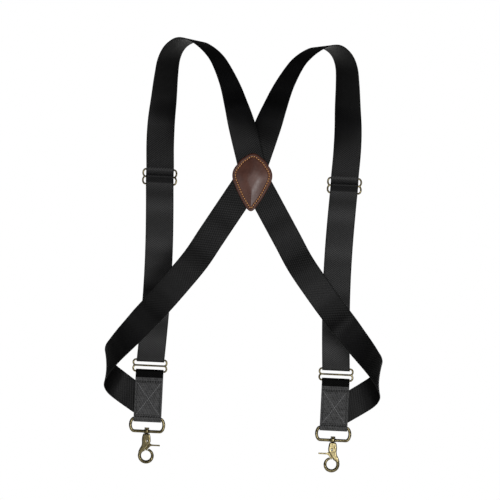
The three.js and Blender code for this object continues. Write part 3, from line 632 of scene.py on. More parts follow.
def strap_stations(layer):
    """Middles and across directions; layer is -1 for the outer strap at the crossing and 1 for the inner."""
    x, y, z, turn, bank, apart = ROUTE.T
    turn, bank = np.radians(turn), np.radians(bank)
    height = np.where(z > 0, SHOULDER_Z, -CONNECTOR_Z) * z
    middle = np.stack([x * COLUMN_X, STRAP_Y + y * DEPTH + layer * apart * LAYER / 2, height], 1)
    across = np.stack([np.cos(bank) * np.cos(turn), np.cos(bank) * np.sin(turn), np.sin(bank)], 1)
    start = [-SLIDER_X, RUN_Y, SLIDER_TOP + WEAVE_REACH]
    return np.vstack([start, middle]), np.vstack([[1.0, 0.0, 0.0], across])


def ripple(places):
    """What y gains: a sine of the place, times how free the strap is there."""
    share = np.interp(places, HELD_OR_FREE[:, 0], HELD_OR_FREE[:, 1])
    return RIPPLE * share * np.sin(2 * math.pi * places / RIPPLE_STATIONS + RIPPLE_START)


def strap_stretch(name, layer, mirror, first, last):
    """The band from one place to another. Its weave starts at the distance already passed."""
    middle, across = strap_stations(layer)
    places = np.linspace(first, last, (last - first) * STEPS_PER_STATION + 1)
    flip = np.array([mirror, 1, 1])
    before = distance_along(through_stations(middle, np.linspace(0, first, 60)))[-1] if first else 0.0
    line = through_stations(middle, places)
    line[:, 1] += ripple(places)
    return band(name, line * flip, through_stations(across, places) * flip, start_mm=before)


for side, mirror in SIDES.items():
    layer = -mirror
    front = strap_stretch(f"front_strap_{side}", layer, mirror, 0, SHOULDER_PLACE)
    finish(front, None, "elastic_webbing", ELASTIC, f"front_webbing_{side}")
    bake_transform(front)
    back = strap_stretch(f"shoulder_and_back_strap_{side}", layer, mirror, SHOULDER_PLACE, LAST_PLACE)
    finish(back, "harness", "elastic_webbing", ELASTIC, f"shoulder_webbing_{side}", f"back_webbing_{side}",
           f"crossing_webbing_{side}", f"lower_back_webbing_{OTHER[side]}", f"hip_webbing_{OTHER[side]}",
           f"hip_end_{OTHER[side]}")
    print(back.name, len(back.data.polygons), "faces")

# %% [markdown]
# Below the slider the strap is still one band: it weaves behind the slider's middle bar, runs down,
# turns round the connector's upper bar, runs up again in front, and its end loops round the slider's
# middle bar and is sewn to itself. It bends only in the side view, so its path is a list of places in
# y and z, with the bends as arcs and the weave as a cosine.

# %% The adjusting part of the strap
EASE_FROM = 0.65  # a run keeps its depth over this share of its length


def arc(y, z, radius, first, last, steps):
    """Points of a circle in the side view, angles in degrees from +y towards +z."""
    angle = np.radians(np.linspace(first, last, steps + 1))
    return np.stack([y + radius * np.cos(angle), z + radius * np.sin(angle)], 1)


def weave_path():
    """In front of the outer bars and behind the middle one: a cosine between the two planes. Behind the
    middle bar it leaves room for the loop, which lies on the bar."""
    behind = FRAME_WIRE / 2 + 3 * GAP + 1.5 * WEB_THICK
    z = np.linspace(SLIDER_PITCH, -SLIDER_PITCH, 33)
    y = FRONT_Y + (behind - OVER_BAR) / 2 + (behind + OVER_BAR) / 2 * np.cos(math.pi * z / SLIDER_PITCH)
    first, last = [RUN_Y, SLIDER_TOP + WEAVE_REACH], [RUN_Y, SLIDER_LOW - WEAVE_REACH]
    return np.vstack([first, np.stack([y, SLIDER_Z + z], 1), last])


def run_path(z_first, z_last, y_slider, y_connector):
    """A straight run that keeps its depth at the slider and eases over to the connector's at its end."""
    high, low = max(z_first, z_last), min(z_first, z_last)
    z = np.linspace(z_first, z_last, 60)
    share = np.clip(((high - z) / (high - low) - EASE_FROM) / (1 - EASE_FROM), 0, 1)
    ease = share * share * (3 - 2 * share)
    return np.stack([y_slider + (y_connector - y_slider) * ease, z], 1)


def loop_path():
    """Up behind its own tail, round the middle bar and down in front to the sewn end."""
    turn = FRAME_WIRE / 2 + GAP + WEB_THICK / 2
    rise = SLIDER_PITCH / 4
    rows = [[RETURN_Y, SLIDER_LOW - TAIL_REACH], [RETURN_Y, SLIDER_LOW - GAP],
            [RETURN_Y + 0.2 * LAYER, SLIDER_LOW + rise],
            [FRONT_Y - 0.6 * OVER_BAR, SLIDER_Z - SLIDER_PITCH / 2 + GAP]]
    down = [[FRONT_Y - OVER_BAR - 1.1 * LAYER, SLIDER_Z - 0.38 * SLIDER_PITCH],
            [TAIL_Y - GAP, SLIDER_LOW + rise], [TAIL_Y - GAP, SLIDER_LOW],
            [TAIL_Y - GAP, SLIDER_LOW - TAIL_REACH]]
    rows = np.vstack([rows, arc(FRONT_Y, SLIDER_Z, turn, -40, 190, 8), down])
    return through_stations(rows, np.linspace(0, len(rows) - 1, 90))


def adjusting_strap(name, mirror):
    """The whole path in one band. Its x goes from the slider's to the connector's and bows like a sine."""
    run_low = CONNECTOR_TOP + WEAVE_REACH
    path = np.vstack([
        weave_path(),
        run_path(SLIDER_LOW - WEAVE_REACH - GAP, run_low, RUN_Y, FRONT_Y + OVER_BAR),
        arc(FRONT_Y, CONNECTOR_TOP, OVER_BAR, 0, -180, 16),
        run_path(run_low, SLIDER_LOW - TAIL_REACH - GAP, RETURN_Y, FRONT_Y - OVER_BAR),
        loop_path(),
    ])
    share = np.clip((SLIDER_Z - path[:, 1]) / (SLIDER_Z - CONNECTOR_Z), 0, 1)
    x = -SLIDER_X + (SLIDER_X - COLUMN_X) * share + FRONT_BOW * np.sin(math.pi * share)
    middle = np.stack([x * mirror, path[:, 0], path[:, 1]], 1)
    across = np.tile([float(mirror), 0.0, 0.0], (len(middle), 1))
    return band(name, middle, across)


for side, mirror in SIDES.items():
    strap = adjusting_strap(f"adjusting_strap_{side}", mirror)
    # The adjusting strap takes the lighter copy of the webbing, which is painted light.
    finish(strap, None, "elastic_webbing", PAINTED_LIGHT_ELASTIC, f"slider_weave_{side}", f"slider_loop_{side}",
           f"front_run_{side}", f"return_run_{side}", f"connector_loop_{side}")
    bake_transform(strap)
    print(strap.name, len(strap.data.polygons), "faces")

# %% [markdown]
# Stitches are small capsules of thread. A row of them is one mesh: one capsule's points are worked out
# once, then placed at every stitch by arrays, each turned along its seam and tipped a little, as a
# saddle stitch lies. A stitch's middle lies at the surface or a little above it, so that it is bedded in.

# %% Stitches
STITCH_RINGS = 7
STITCH_SIDES = 8
STITCH_TIP = 0.02  # the least share of the round section's area, at the two tips
STITCH_FLATNESS = 0.8


def stitch_row(name, places, along, normal, length, width, material, slot, tilt=0.0):
    """places, along and normal are arrays of a point and two directions for each stitch. The radius at u,
    from -1 to 1 along it, is half the width times the root of one less the cube of u."""
    u = np.linspace(-1, 1, STITCH_RINGS)
    radius = np.sqrt(np.clip(1 - np.abs(u) ** 3, STITCH_TIP, 1)) * width / 2
    angle = np.linspace(0, 2 * math.pi, STITCH_SIDES, endpoint=False)
    side = unit(np.cross(normal, along))
    direction = along * math.cos(tilt) + side * math.sin(tilt)
    side = unit(np.cross(normal, direction))
    points = (places[:, None, None] + direction[:, None, None] * (u * length / 2)[None, :, None, None]
              + side[:, None, None] * (radius[:, None] * np.cos(angle))[None, :, :, None]
              + normal[:, None, None] * (radius[:, None] * np.sin(angle) * STITCH_FLATNESS)[None, :, :, None])
    quads = grid_faces(STITCH_RINGS, STITCH_SIDES)
    caps = np.array([np.arange(STITCH_SIDES), np.arange(STITCH_RINGS * STITCH_SIDES)[:-STITCH_SIDES - 1:-1]])
    if volume(points[0].reshape(-1, 3), quads) < 0:
        quads, caps = quads[:, ::-1], caps[:, ::-1]
    shifts = (np.arange(len(places)) * STITCH_RINGS * STITCH_SIDES)[:, None, None]
    faces = (quads[None] + shifts).reshape(-1, 4).tolist()
    faces += (caps[None] + shifts).reshape(-1, STITCH_SIDES).tolist()
    piece = new_mesh(name, points.reshape(-1, 3), faces, sharp_degrees=80.0)
    return finish(piece, "harness", slot, material)


def along_line(start, end, pitch, normal):
    """Stitch places along a straight seam, with their direction and normal."""
    start, end = np.asarray(start, float), np.asarray(end, float)
    count = max(2, int(round(np.linalg.norm(end - start) / pitch)))
    share = (np.arange(count) + 0.5) / count
    places = start + (end - start) * share[:, None]
    return places, np.tile(unit(end - start), (count, 1)), np.tile(np.asarray(normal, float), (count, 1))


print("a 30 mm seam at 2.8 mm takes", len(along_line((0, 0, 0), (30, 0, 0), 2.8, (0, 1, 0))[0]), "stitches")

# %% [markdown]
# ## The tab
# The strip over the connector's lower bar is black elastic, drawn darker and duller than the straps as
# painted shade. The tab is a length of grey webbing folded round the hook ring's upper bar, with the strip
# and the hip strap's end between its two layers, sewn through with a box and a cross. Its upper edge is
# turned over, so it stands a little proud and catches the light.

# %% Strip and tab
STRIP_LEGS = 18  # how far the strip reaches down from the connector's lower bar
TAB_Y = 2 * PLY  # from the middle of the stack of layers to the middle of each of the tab's own
HEM_THICK = 0.8
HEM_LIFT = 0.35  # at its lower edge, the hem's middle stands this far off the tab's face
HEM_LEAN = 0.1  # above that edge it stands off this much more
HEM_TOP, HEM_BEND, HEM_LOW = TAB_TOP_Z - 0.4, TAB_TOP_Z - 4.2, TAB_TOP_Z - 4.6
HEM_INSET = 0.3  # at each side


def folded_band(name, mirror, path, width=WEB_WIDTH, thick=WEB_THICK):
    """A band that bends only in the side view, at the column's x."""
    middle = np.stack([np.full(len(path), -COLUMN_X * mirror), path[:, 0], path[:, 1]], 1)
    across = np.tile([1.0, 0.0, 0.0], (len(middle), 1))
    return band(name, middle, across, width, thick)


def straight(y0, z0, y1, z1, steps):
    """Evenly spaced points from one place to another."""
    share = np.linspace(0, 1, steps + 1)[:, None]
    return np.array([y0, z0]) + (np.array([y1, z1]) - np.array([y0, z0])) * share


def strip_path():
    """A smooth curve through two straight legs and an arc round the connector's lower bar."""
    low, bend = CONNECTOR_LOW - STRIP_LEGS, CONNECTOR_LOW - 2 * OVER_BAR
    rows = np.vstack([
        straight(FRONT_Y + PLY, low, FRONT_Y + PLY, bend, 6),
        arc(FRONT_Y, CONNECTOR_LOW, OVER_BAR, -10, 190, 14),
        straight(FRONT_Y - PLY, bend, FRONT_Y - PLY, low, 6)])
    return through_stations(rows, np.linspace(0, len(rows) - 1, 80))


def tab_path():
    """Two straight layers, joined by a half circle about the ring's upper bar."""
    return np.vstack([
        straight(FRONT_Y + TAB_Y, TAB_TOP_Z, FRONT_Y + TAB_Y, TAB_BAR_Z, 20)[:-1],
        arc(FRONT_Y, TAB_BAR_Z, TAB_Y, 0, -180, 24),
        straight(FRONT_Y - TAB_Y, TAB_BAR_Z, FRONT_Y - TAB_Y, TAB_TOP_Z, 20)[1:]])


def hem_path():
    """The turned-over hem on the near layer: a flat roll, four millimetres deep."""
    y = FRONT_Y - TAB_Y - WEB_THICK / 2 - HEM_LIFT
    return np.vstack([straight(y, HEM_LOW, y - HEM_LEAN, HEM_BEND, 2)[:-1],
                      straight(y - HEM_LEAN, HEM_BEND, y - HEM_LEAN, HEM_TOP, 5)])


def add_folds(side, mirror):
    """The strip, the tab and the tab's hem on one side."""
    # The strip takes the near-black copy of the elastic, which is painted shade.
    finish(folded_band(f"connector_fold_{side}", mirror, strip_path()), "harness", "elastic_webbing",
           PAINTED_SHADE_ELASTIC, f"connector_strip_{side}")
    finish(folded_band(f"tab_fold_{side}", mirror, tab_path()), "harness", "tab_webbing", TWILL,
           f"tab_{side}")
    finish(folded_band(f"tab_hem_{side}", mirror, hem_path(), WEB_WIDTH - 2 * HEM_INSET, HEM_THICK),
           "harness", "tab_webbing", TWILL)


print("unfolded, the tab is", round(distance_along(tab_path())[-1], 1), "mm long")

# %% [markdown]
# The box and the cross are lockstitch seams, small and even. Under the hem and above the ring runs a bar of
# coarse, slanted stitches. Every seam goes right through, so it shows on the far face as well.

# %% The tab's stitching
BOX_HALF = WEB_WIDTH / 2 - 3.2
BOX_TOP = TAB_TOP_Z - 7.6
BOX_LOW = TAB_BAR_Z + 5.2
BAR_HALF = BOX_HALF + 2
BAR_HEIGHTS = (TAB_TOP_Z - 5.6, TAB_BAR_Z + 2.4)
LEFT_TOP, RIGHT_TOP = (-BOX_HALF, BOX_TOP), (BOX_HALF, BOX_TOP)
LEFT_LOW, RIGHT_LOW = (-BOX_HALF, BOX_LOW), (BOX_HALF, BOX_LOW)
BOX_SEAMS = ((LEFT_TOP, RIGHT_TOP), (RIGHT_TOP, RIGHT_LOW), (RIGHT_LOW, LEFT_LOW), (LEFT_LOW, LEFT_TOP))
CROSS_SEAMS = ((LEFT_TOP, RIGHT_LOW), (RIGHT_TOP, LEFT_LOW))
BAR_SEAMS = [((-BAR_HALF, z), (BAR_HALF, z)) for z in BAR_HEIGHTS]
LOCKSTITCH = {"pitch": 2.8, "length": 2.2, "width": 0.8}
BARSTITCH = {"pitch": 3.6, "length": 2.7, "width": 1.9, "tilt": 0.4}
TAB_SEAMS = (("box", BOX_SEAMS, BLACK_THREAD, LOCKSTITCH), ("cross", CROSS_SEAMS, GREY_THREAD, LOCKSTITCH),
             ("bar", BAR_SEAMS, BLACK_THREAD, BARSTITCH))
TAB_FACE = TAB_Y + BODY_SHARE * WEB_THICK / 2  # from the middle of the stack to the tab's surface


def sew(name, seams, centre, y, normal, thread, pitch, **stitch):
    """One row of stitches for all the seams, each given by the (x, z) of its ends about the centre."""
    rows = [along_line((centre + a[0], y, a[1]), (centre + b[0], y, b[1]), pitch, normal) for a, b in seams]
    places, along, normals = (np.vstack(group) for group in zip(*rows))
    return stitch_row(name, places, along, normals, material=thread, slot="tab_webbing", **stitch)


def add_seams(side, mirror):
    """Every seam on both faces of one tab."""
    for face, outward in (("near", -1), ("far", 1)):
        for kind, seams, thread, stitch in TAB_SEAMS:
            sew(f"tab_{kind}_stitching_{face}_{side}", seams, -COLUMN_X * mirror,
                FRONT_Y + outward * TAB_FACE, (0, outward, 0), thread, **stitch)


for side, mirror in SIDES.items():
    add_folds(side, mirror)
    add_seams(side, mirror)
print("seams on each face of a tab:", [kind for kind, *_ in TAB_SEAMS])

# %% [markdown]
# ## The leather patch
# Leather that is stitched down all round stands up in the middle: the seam pulls it down along a groove,
# the rim outside the seam rolls up a little, and the inside is crowned over the two straps. The surface is
# worked out from the outline: each ring of the grid is the outline moved inwards, first by a true offset
# so that the groove keeps its distance from the edge, and then shrinking towards the middle.

# %% The patch's outline
PATCH_WIDTH = 54.5
PATCH_TOP = 39
PATCH_BOTTOM = 40
PATCH_WIDEST = 12
PATCH_SIDE_ROUND = 18
PATCH_END_ROUND = 16
PATCH_BELLY = 1


def bezier(a, b, c, steps):
    """A quadratic curve from a to c that heads for b."""
    t = np.linspace(0, 1, steps, endpoint=False)[:, None]
    return (1 - t) ** 2 * a + 2 * t * (1 - t) * b + t * t * c


def patch_outline(count=240):
    """A kite with bowed edges and rounded corners, as evenly spaced points. Each edge and each corner is
    a quadratic curve."""
    half = PATCH_WIDTH / 2
    upper = math.atan2(PATCH_TOP - PATCH_WIDEST, half)
    lower = math.atan2(PATCH_BOTTOM + PATCH_WIDEST, half)
    side = half + PATCH_SIDE_ROUND / 2 * math.cos((upper + lower) / 2)
    top = PATCH_TOP + PATCH_END_ROUND / 2 * math.sin(upper)
    bottom = -PATCH_BOTTOM - PATCH_END_ROUND / 2 * math.sin(lower)
    corners = np.array([[0, top], [side, PATCH_WIDEST], [0, bottom], [-side, PATCH_WIDEST]])
    rounds = [PATCH_END_ROUND, PATCH_SIDE_ROUND] * 2
    parts = []
    for k in (1, 2, 3, 0):
        before, corner, after = corners[k - 1], corners[k], corners[(k + 1) % 4]
        edge, next_edge = unit(corner - before), unit(after - corner)
        start = before + edge * rounds[k - 1]
        reach = corner - edge * rounds[k]
        leave = corner + next_edge * rounds[k]
        way = unit(reach - start) * 2 * PATCH_BELLY
        bow = (start + reach) / 2 + np.array([-way[1], way[0]])
        parts += [bezier(start, bow, reach, 40), bezier(reach, corner, leave, 60)]
    outline = np.vstack(parts)
    closed = np.vstack([outline, outline[:1]])
    length = distance_along(closed)
    even = np.linspace(0, length[-1], count, endpoint=False)
    return np.stack([np.interp(even, length, closed[:, k]) for k in (0, 1)], 1)


OUTLINE = patch_outline()
print("patch is", np.round(np.ptp(OUTLINE, axis=0), 1), "mm")

# %% [markdown]
# The crown is a dome that the two straps underneath push up, and the groove is a narrow dip in it at the
# seam. Each stitch is pulled down into the groove. The lining lies flat on the wearer's back, and only its
# edge and its seam are pulled in.

# %% The patch's surface
SEAM_INSET = 4.3
GROOVE_DEPTH = 0.8
GROOVE_WIDTH = 0.8
ROLL_DROP = 1.3
ROLL_WIDTH = 0.7
RIM_INSET = 2.2
RIM_HEIGHT = 0.6
RIM_WIDTH = 1.2
SHOULDER_MM = 17.0
CROWN = 3.0
DOME_HALF_WIDTH = 44.0
DOME_HALF_HEIGHT = 62.0
DOME_MIDDLE_Z = 6.0
LINING_ROUND_DROP = 0.4
LINING_ROUND_WIDTH = 0.3
LINING_GROOVE_DEPTH = 0.25
LINING_GROOVE_WIDTH = 0.7
OUTER_STRAP_OFF = 1.35  # how many half layers the outer strap stands off under the leather, at the most
PATCH_FACE_Y = STRAP_Y - OUTER_STRAP_OFF * LAYER / 2 - WEB_THICK / 2 - GAP
# The rings of the surface, from the edge inwards: true offsets as far as the outline's narrow ends allow,
# closer together where the leather bends, and then copies of the last one that shrink.
RING_INSETS = np.array([0.0, 0.12, 0.35, 0.7, 1.2, 1.9, 2.7, 3.3, 3.7, 4.0, 4.3, 4.6, 4.9, 5.2])
RING_SHRINKS = np.linspace(1, 0.02, 34)[1:]


def inset(outline, distance):
    """Moves the outline inwards along its normals."""
    ahead = np.roll(outline, -2, 0) - np.roll(outline, 2, 0)
    normal = unit(np.stack([ahead[:, 1], -ahead[:, 0]], 1))
    if np.sum(normal * (outline - outline.mean(0))) > 0:
        normal = -normal
    return outline + normal * distance


def leather_rise(distance, x=0.0, z=0.0):
    """In mm above the flat leather: the edge is rolled down, the rim outside the seam is a half-round
    ridge, the seam is a groove, and the inside is a dome, one less the squares of x and z over its half
    sizes, that rises from the seam over a shoulder."""
    roll = -ROLL_DROP * np.exp(-distance / ROLL_WIDTH)
    rim = RIM_HEIGHT * bell(distance, RIM_INSET, RIM_WIDTH)
    groove = -GROOVE_DEPTH * bell(distance, SEAM_INSET, GROOVE_WIDTH)
    shoulder = np.clip((distance - SEAM_INSET) / SHOULDER_MM, 0, 1)
    dome = 1 - (x / DOME_HALF_WIDTH) ** 2 - ((z - DOME_MIDDLE_Z) / DOME_HALF_HEIGHT) ** 2
    return roll + rim + groove + CROWN * np.sin(shoulder * math.pi / 2) * dome


def lining_rise(distance):
    """In mm above the flat suede: the edge is rounded off and the seam is a shallow groove."""
    round_off = -LINING_ROUND_DROP * np.exp(-distance / LINING_ROUND_WIDTH)
    return round_off - LINING_GROOVE_DEPTH * bell(distance, SEAM_INSET, LINING_GROOVE_WIDTH)


def patch_sheet(name, y_flat, thick, outward, crowned=True):
    """A closed leather sheet: the shaped face, the edge and a flat back. outward is -1 or 1 in y."""
    rings = [inset(OUTLINE, distance) for distance in RING_INSETS]
    innermost = rings[-1]
    heart = innermost.mean(0)
    rings += [heart + (innermost - heart) * shrink for shrink in RING_SHRINKS]
    # A shrunken ring's distance from the edge: the last offset, plus what the shrinking adds. Four fifths
    # of the mean radius stands for the distance to the nearest edge.
    reach = np.linalg.norm(innermost - heart, axis=1).mean() * 0.8
    distances = np.concatenate([RING_INSETS, RING_INSETS[-1] + (1 - RING_SHRINKS) * reach])[:, None]
    x, z = np.stack(rings).transpose(2, 0, 1)
    rise = leather_rise(distances, x, z) if crowned else np.broadcast_to(lining_rise(distances), x.shape)
    top = np.stack([x, y_flat + outward * (thick + rise), z], -1)
    under = [len(rings) - 1, len(RING_INSETS), 3, 0]
    low = np.stack([x[under], np.full_like(x[under], y_flat), z[under]], -1)
    grid = np.vstack([top[::-1], low[::-1]])
    return skin(name, carried(grid), sharp_degrees=65.0)


def seam_places(y_flat, thick, outward, rise, pitch):
    """Evenly spaced points along the outline moved in to the seam."""
    line = inset(OUTLINE, SEAM_INSET)
    closed = np.vstack([line, line[:1]])
    length = distance_along(closed)
    count = int(length[-1] / pitch)
    even = (np.arange(count) + 0.5) * length[-1] / count
    x, z = (np.interp(even, length, closed[:, k]) for k in (0, 1))
    ahead = [np.interp((even + 0.5) % length[-1], length, closed[:, k]) for k in (0, 1)]
    y = np.full(count, y_flat + outward * (thick + rise))
    places = np.stack([x, y, z], 1)
    along = unit(np.stack([ahead[0] - x, np.zeros(count), ahead[1] - z], 1))
    return places, along, np.tile([0.0, float(outward), 0.0], (count, 1))


patch = patch_sheet("patch_leather", PATCH_FACE_Y, PATCH_OUTER_THICK, -1)
finish(patch, "harness", "leather_outer", LEATHER, "patch_outer")
lining = patch_sheet("patch_lining", -PATCH_BACKING_THICK, PATCH_BACKING_THICK, 1, crowned=False)
finish(lining, "harness", "leather_backing", SUEDE, "patch_backing")
seam = seam_places(PATCH_FACE_Y, PATCH_OUTER_THICK, -1, rise=leather_rise(SEAM_INSET) + 0.45, pitch=3.5)
stitch_row("patch_saddle_stitching", *seam, length=2.4, width=1.3, material=WAXED_THREAD,
           slot="leather_outer", tilt=0.35)
seam = seam_places(-PATCH_BACKING_THICK, PATCH_BACKING_THICK, 1, rise=-0.3, pitch=3.0)
stitch_row("lining_saddle_stitching", *seam, length=2.2, width=0.6, material=WAXED_THREAD,
           slot="leather_backing")
print(patch.name, len(patch.data.polygons), "faces,", len(seam[0]), "stitches on the lining")

# %% [markdown]
# ## Wire hardware
# Slider and connector are bent from round wire: two rings that share their middle bar, brazed together.
# A tube is a circle carried along a line. Each half is a tube from one end of the middle bar round to the
# other, and the bar is a tube of its own, so that nothing is doubled where they meet.

# %% Bent wire
FRAME_STRAIGHT = WEB_WIDTH + 0.9  # the webbing has a little play between the lobes
FRAME_LOBE = 3.4
LOBE_THINNER = 0.995  # the lobes end inside the middle bar, so they are a hair thinner than it is
BAR_RINGS = 60


def tube(path, radius, sides=20):
    """Point (i, j) is path i plus a circle in the plane across it. One of the circle's two directions is
    the y axis, less the part of it that lies along the path."""
    along = directions(path)
    up = unit(np.array([0.0, 1.0, 0.0]) - along * along[:, 1:2])
    out = np.cross(along, up)
    angle = np.linspace(0, 2 * math.pi, sides, endpoint=False)
    radius = np.broadcast_to(radius, len(path))[:, None, None]
    return path[:, None] + radius * (out[:, None] * np.cos(angle)[None, :, None]
                                     + up[:, None] * np.sin(angle)[None, :, None])


def round_bar(x, z, half, radius):
    """A straight bar along x that ends in half balls: past its ends its radius is the ball's height."""
    reach = (half + radius) * np.sin(np.linspace(-math.pi / 2, math.pi / 2, BAR_RINGS))
    past = np.clip(np.abs(reach) - half, 0, radius * 0.999)
    line = np.stack([x + reach, np.full(BAR_RINGS, FRONT_Y), np.full(BAR_RINGS, float(z))], 1)
    return tube(line, np.sqrt(radius**2 - past**2))


def lobe_line(x, z, half_straight, lobe, pitch, up, steps=26):
    """From one end of the middle bar, round the far bar, to the other end. Ends are ellipses."""
    angle = np.linspace(math.pi / 2, -math.pi / 2, steps)
    right = np.stack([half_straight + lobe * np.cos(angle), -pitch / 2 * np.sin(angle) + pitch / 2], 1)
    left = np.stack([-right[::-1, 0], right[::-1, 1]], 1)
    line = np.vstack([right, left])
    return np.stack([x + line[:, 0], np.full(len(line), FRONT_Y), z + up * line[:, 1]], 1)


def wire_frame(name, x, z, pitch, body, *nodes):
    """A middle bar with one lobe above it and one below, as one object."""
    radius, half = FRAME_WIRE / 2, FRAME_STRAIGHT / 2
    lines = [lobe_line(x, z, half, FRAME_LOBE, pitch, up) for up in (1, -1)]
    lobes = [carried(tube(line, radius * LOBE_THINNER)) for line in lines]
    piece = skin(name, carried(round_bar(x, z, half, radius)), *lobes)
    return finish(piece, body, "antique_brass", BRASS, *nodes)


for side, mirror in SIDES.items():
    wire_frame(f"slider_wire_{side}", -SLIDER_X * mirror, SLIDER_Z, SLIDER_PITCH, f"slider_{side}",
               f"slider_frame_{side}")
    wire_frame(f"connector_wire_{side}", -COLUMN_X * mirror, CONNECTOR_Z, CONNECTOR_PITCH, "harness",
               f"connector_frame_{side}")
    print("wire frames,", side)

# %% [markdown]
# The hook ring is thicker wire, and a turned boss is cast round its lower bar for the swivel post. A
# turned piece is a profile carried round an axis.

# %% Hook ring
RING_WIRE = 4.2
RING_PLAY = 3.5  # the ring is this much wider inside than the webbing
RING_BULGE = 5.4
RING_STRAIGHT = WEB_WIDTH + RING_PLAY + RING_WIRE - 2 * RING_BULGE
RING_HEIGHT = 17.6
RING_LOW = TAB_BAR_Z - RING_HEIGHT
BOSS_DIAMETER = 8
BOSS_HEIGHT = 5.6
BOSS_ROUND = 0.8
BOSS_WALL = 0.6  # what is left between the post's hole and the wire's ends
POST_DIAMETER = 3.8


def turned(profile, centre, axis, sides=48):
    """profile holds (radius, height) pairs. The grid's rows go round the axis: each is the profile with its
    radii laid along one spoke."""
    axis = unit(np.asarray(axis, float))
    first = unit(np.cross(axis, [0.3, 0.5, 0.9]))
    second = np.cross(axis, first)
    angle = np.linspace(0, 2 * math.pi, sides, endpoint=False)
    spokes = first * np.cos(angle)[:, None] + second * np.sin(angle)[:, None]
    radius, height = np.asarray(profile, float).T
    return (np.asarray(centre, float) + spokes[:, None] * radius[None, :, None]
            + axis * height[None, :, None])


def ring_line(x, half_gap):
    """The ring's middle line, from one side of the boss round to the other."""
    angle = np.linspace(-math.pi / 2, math.pi / 2, 34)
    end = np.stack([RING_STRAIGHT / 2 + RING_BULGE * np.cos(angle), RING_HEIGHT / 2 * np.sin(angle)], 1)
    low = np.stack([np.linspace(half_gap, RING_STRAIGHT / 2, 14)[:-1], np.full(13, -RING_HEIGHT / 2)], 1)
    top = np.stack([np.linspace(RING_STRAIGHT / 2, 0, 14)[1:], np.full(13, RING_HEIGHT / 2)], 1)
    right = np.vstack([low, end, top])
    left = np.stack([-right[::-1, 0], right[::-1, 1]], 1)[1:]
    line = np.vstack([right, left])
    middle = (TAB_BAR_Z + RING_LOW) / 2
    return np.stack([x + line[:, 0], np.full(len(line), FRONT_Y), middle + line[:, 1]], 1)


def boss_profile():
    """A short barrel with rounded shoulders and a hole for the post, closed on itself."""
    outer, hole, half = BOSS_DIAMETER / 2, POST_DIAMETER / 2 + GAP, BOSS_HEIGHT / 2
    angle = np.radians(np.linspace(90, -90, 12))
    up, flat = np.sin(angle), outer - 2 * BOSS_ROUND
    barrel = np.stack([outer - BOSS_ROUND + BOSS_ROUND * np.cos(angle),
                       (half - BOSS_ROUND) * np.sign(up) + BOSS_ROUND * up], 1)
    return np.vstack([[hole, half], [flat, half], barrel, [flat, -half], [hole, -half]])


for side, mirror in SIDES.items():
    x = -COLUMN_X * mirror
    wire = carried(tube(ring_line(x, POST_DIAMETER / 2 + GAP + BOSS_WALL), RING_WIRE / 2))
    boss = carried(turned(boss_profile(), (x, FRONT_Y, RING_LOW), (0, 0, 1)), closed=True)
    finish(skin(f"ring_wire_{side}", wire, boss), f"ring_{side}", "antique_brass", BRASS,
           f"hook_ring_{side}")
    print("hook ring,", side)

# %% [markdown]
# ## Cast hook and trigger
# Die-cast zinc has no sharp edges: the metal fills the mould with soft corners, and tumbling rounds them
# further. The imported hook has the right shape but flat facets. A copy of it is rebuilt on a fine voxel
# grid and smoothed, which rounds every edge by about the same radius, as tumbling does.

# %% Rounded castings
HOOK_VOXEL = 0.28
HOOK_PASSES = 20
TRIGGER_VOXEL = 0.22
TRIGGER_PASSES = 8


def rounded_casting(name, source, voxel_mm, passes):
    """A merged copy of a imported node, remeshed on a voxel grid and relaxed. The result has no modifiers."""
    copy = bpy.data.objects.new(name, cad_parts[source].data.copy())
    copy.data.materials.clear()
    bpy.context.scene.collection.objects.link(copy)
    weld = copy.modifiers.new("weld", "WELD")
    weld.merge_threshold = 0.01 * MM
    grid = copy.modifiers.new("voxels", "REMESH")
    grid.mode = "VOXEL"
    grid.voxel_size = voxel_mm * MM
    grid.use_smooth_shade = True
    relax = copy.modifiers.new("tumbled", "SMOOTH")
    relax.factor = 0.5
    relax.iterations = passes
    evaluated = copy.evaluated_get(bpy.context.evaluated_depsgraph_get())
    made = bpy.data.meshes.new_from_object(evaluated)
    copy.modifiers.clear()
    copy.data = made
    return copy


for side in SIDES:
    hook = rounded_casting(f"hook_casting_{side}", f"hook_body_{side}", HOOK_VOXEL, HOOK_PASSES)
    finish(hook, f"hook_{side}", "antique_brass", BRASS, f"hook_body_{side}")
    lever = rounded_casting(f"trigger_casting_{side}", f"trigger_{side}", TRIGGER_VOXEL, TRIGGER_PASSES)
    finish(lever, f"trigger_{side}", "antique_brass", BRASS, f"trigger_{side}")
    print(hook.name, len(hook.data.polygons), "faces;", lever.name, len(lever.data.polygons), "faces")

# %% [markdown]
# The rivet that the trigger turns on has a low domed head on each side. The torsion spring is a few turns
# of wire round it.

# %% Rivet and spring
HOOK_TOP = RING_LOW - BOSS_HEIGHT / 2 - GAP
PIN_DROP = 10
PIN_Z = HOOK_TOP - PIN_DROP
PIN_X = COLUMN_X - 1
PIN_RADIUS = 1.1
HEAD_RADIUS = 1.75
HEAD_DOME = 0.55
HEAD_LIFT = 0.05  # the heads' rims stand this far off the hook's faces
HOOK_THICK = 7
HOOK_SLOT = 4.4
SPRING_RADIUS = 1.8
SPRING_WIRE = 0.5
SPRING_TURNS = 3
SPRING_PITCH = 0.62
SPRING_START_Y = FRONT_Y - HOOK_SLOT / 2 + GAP + SPRING_WIRE / 2  # the first turn lies by the slot's wall


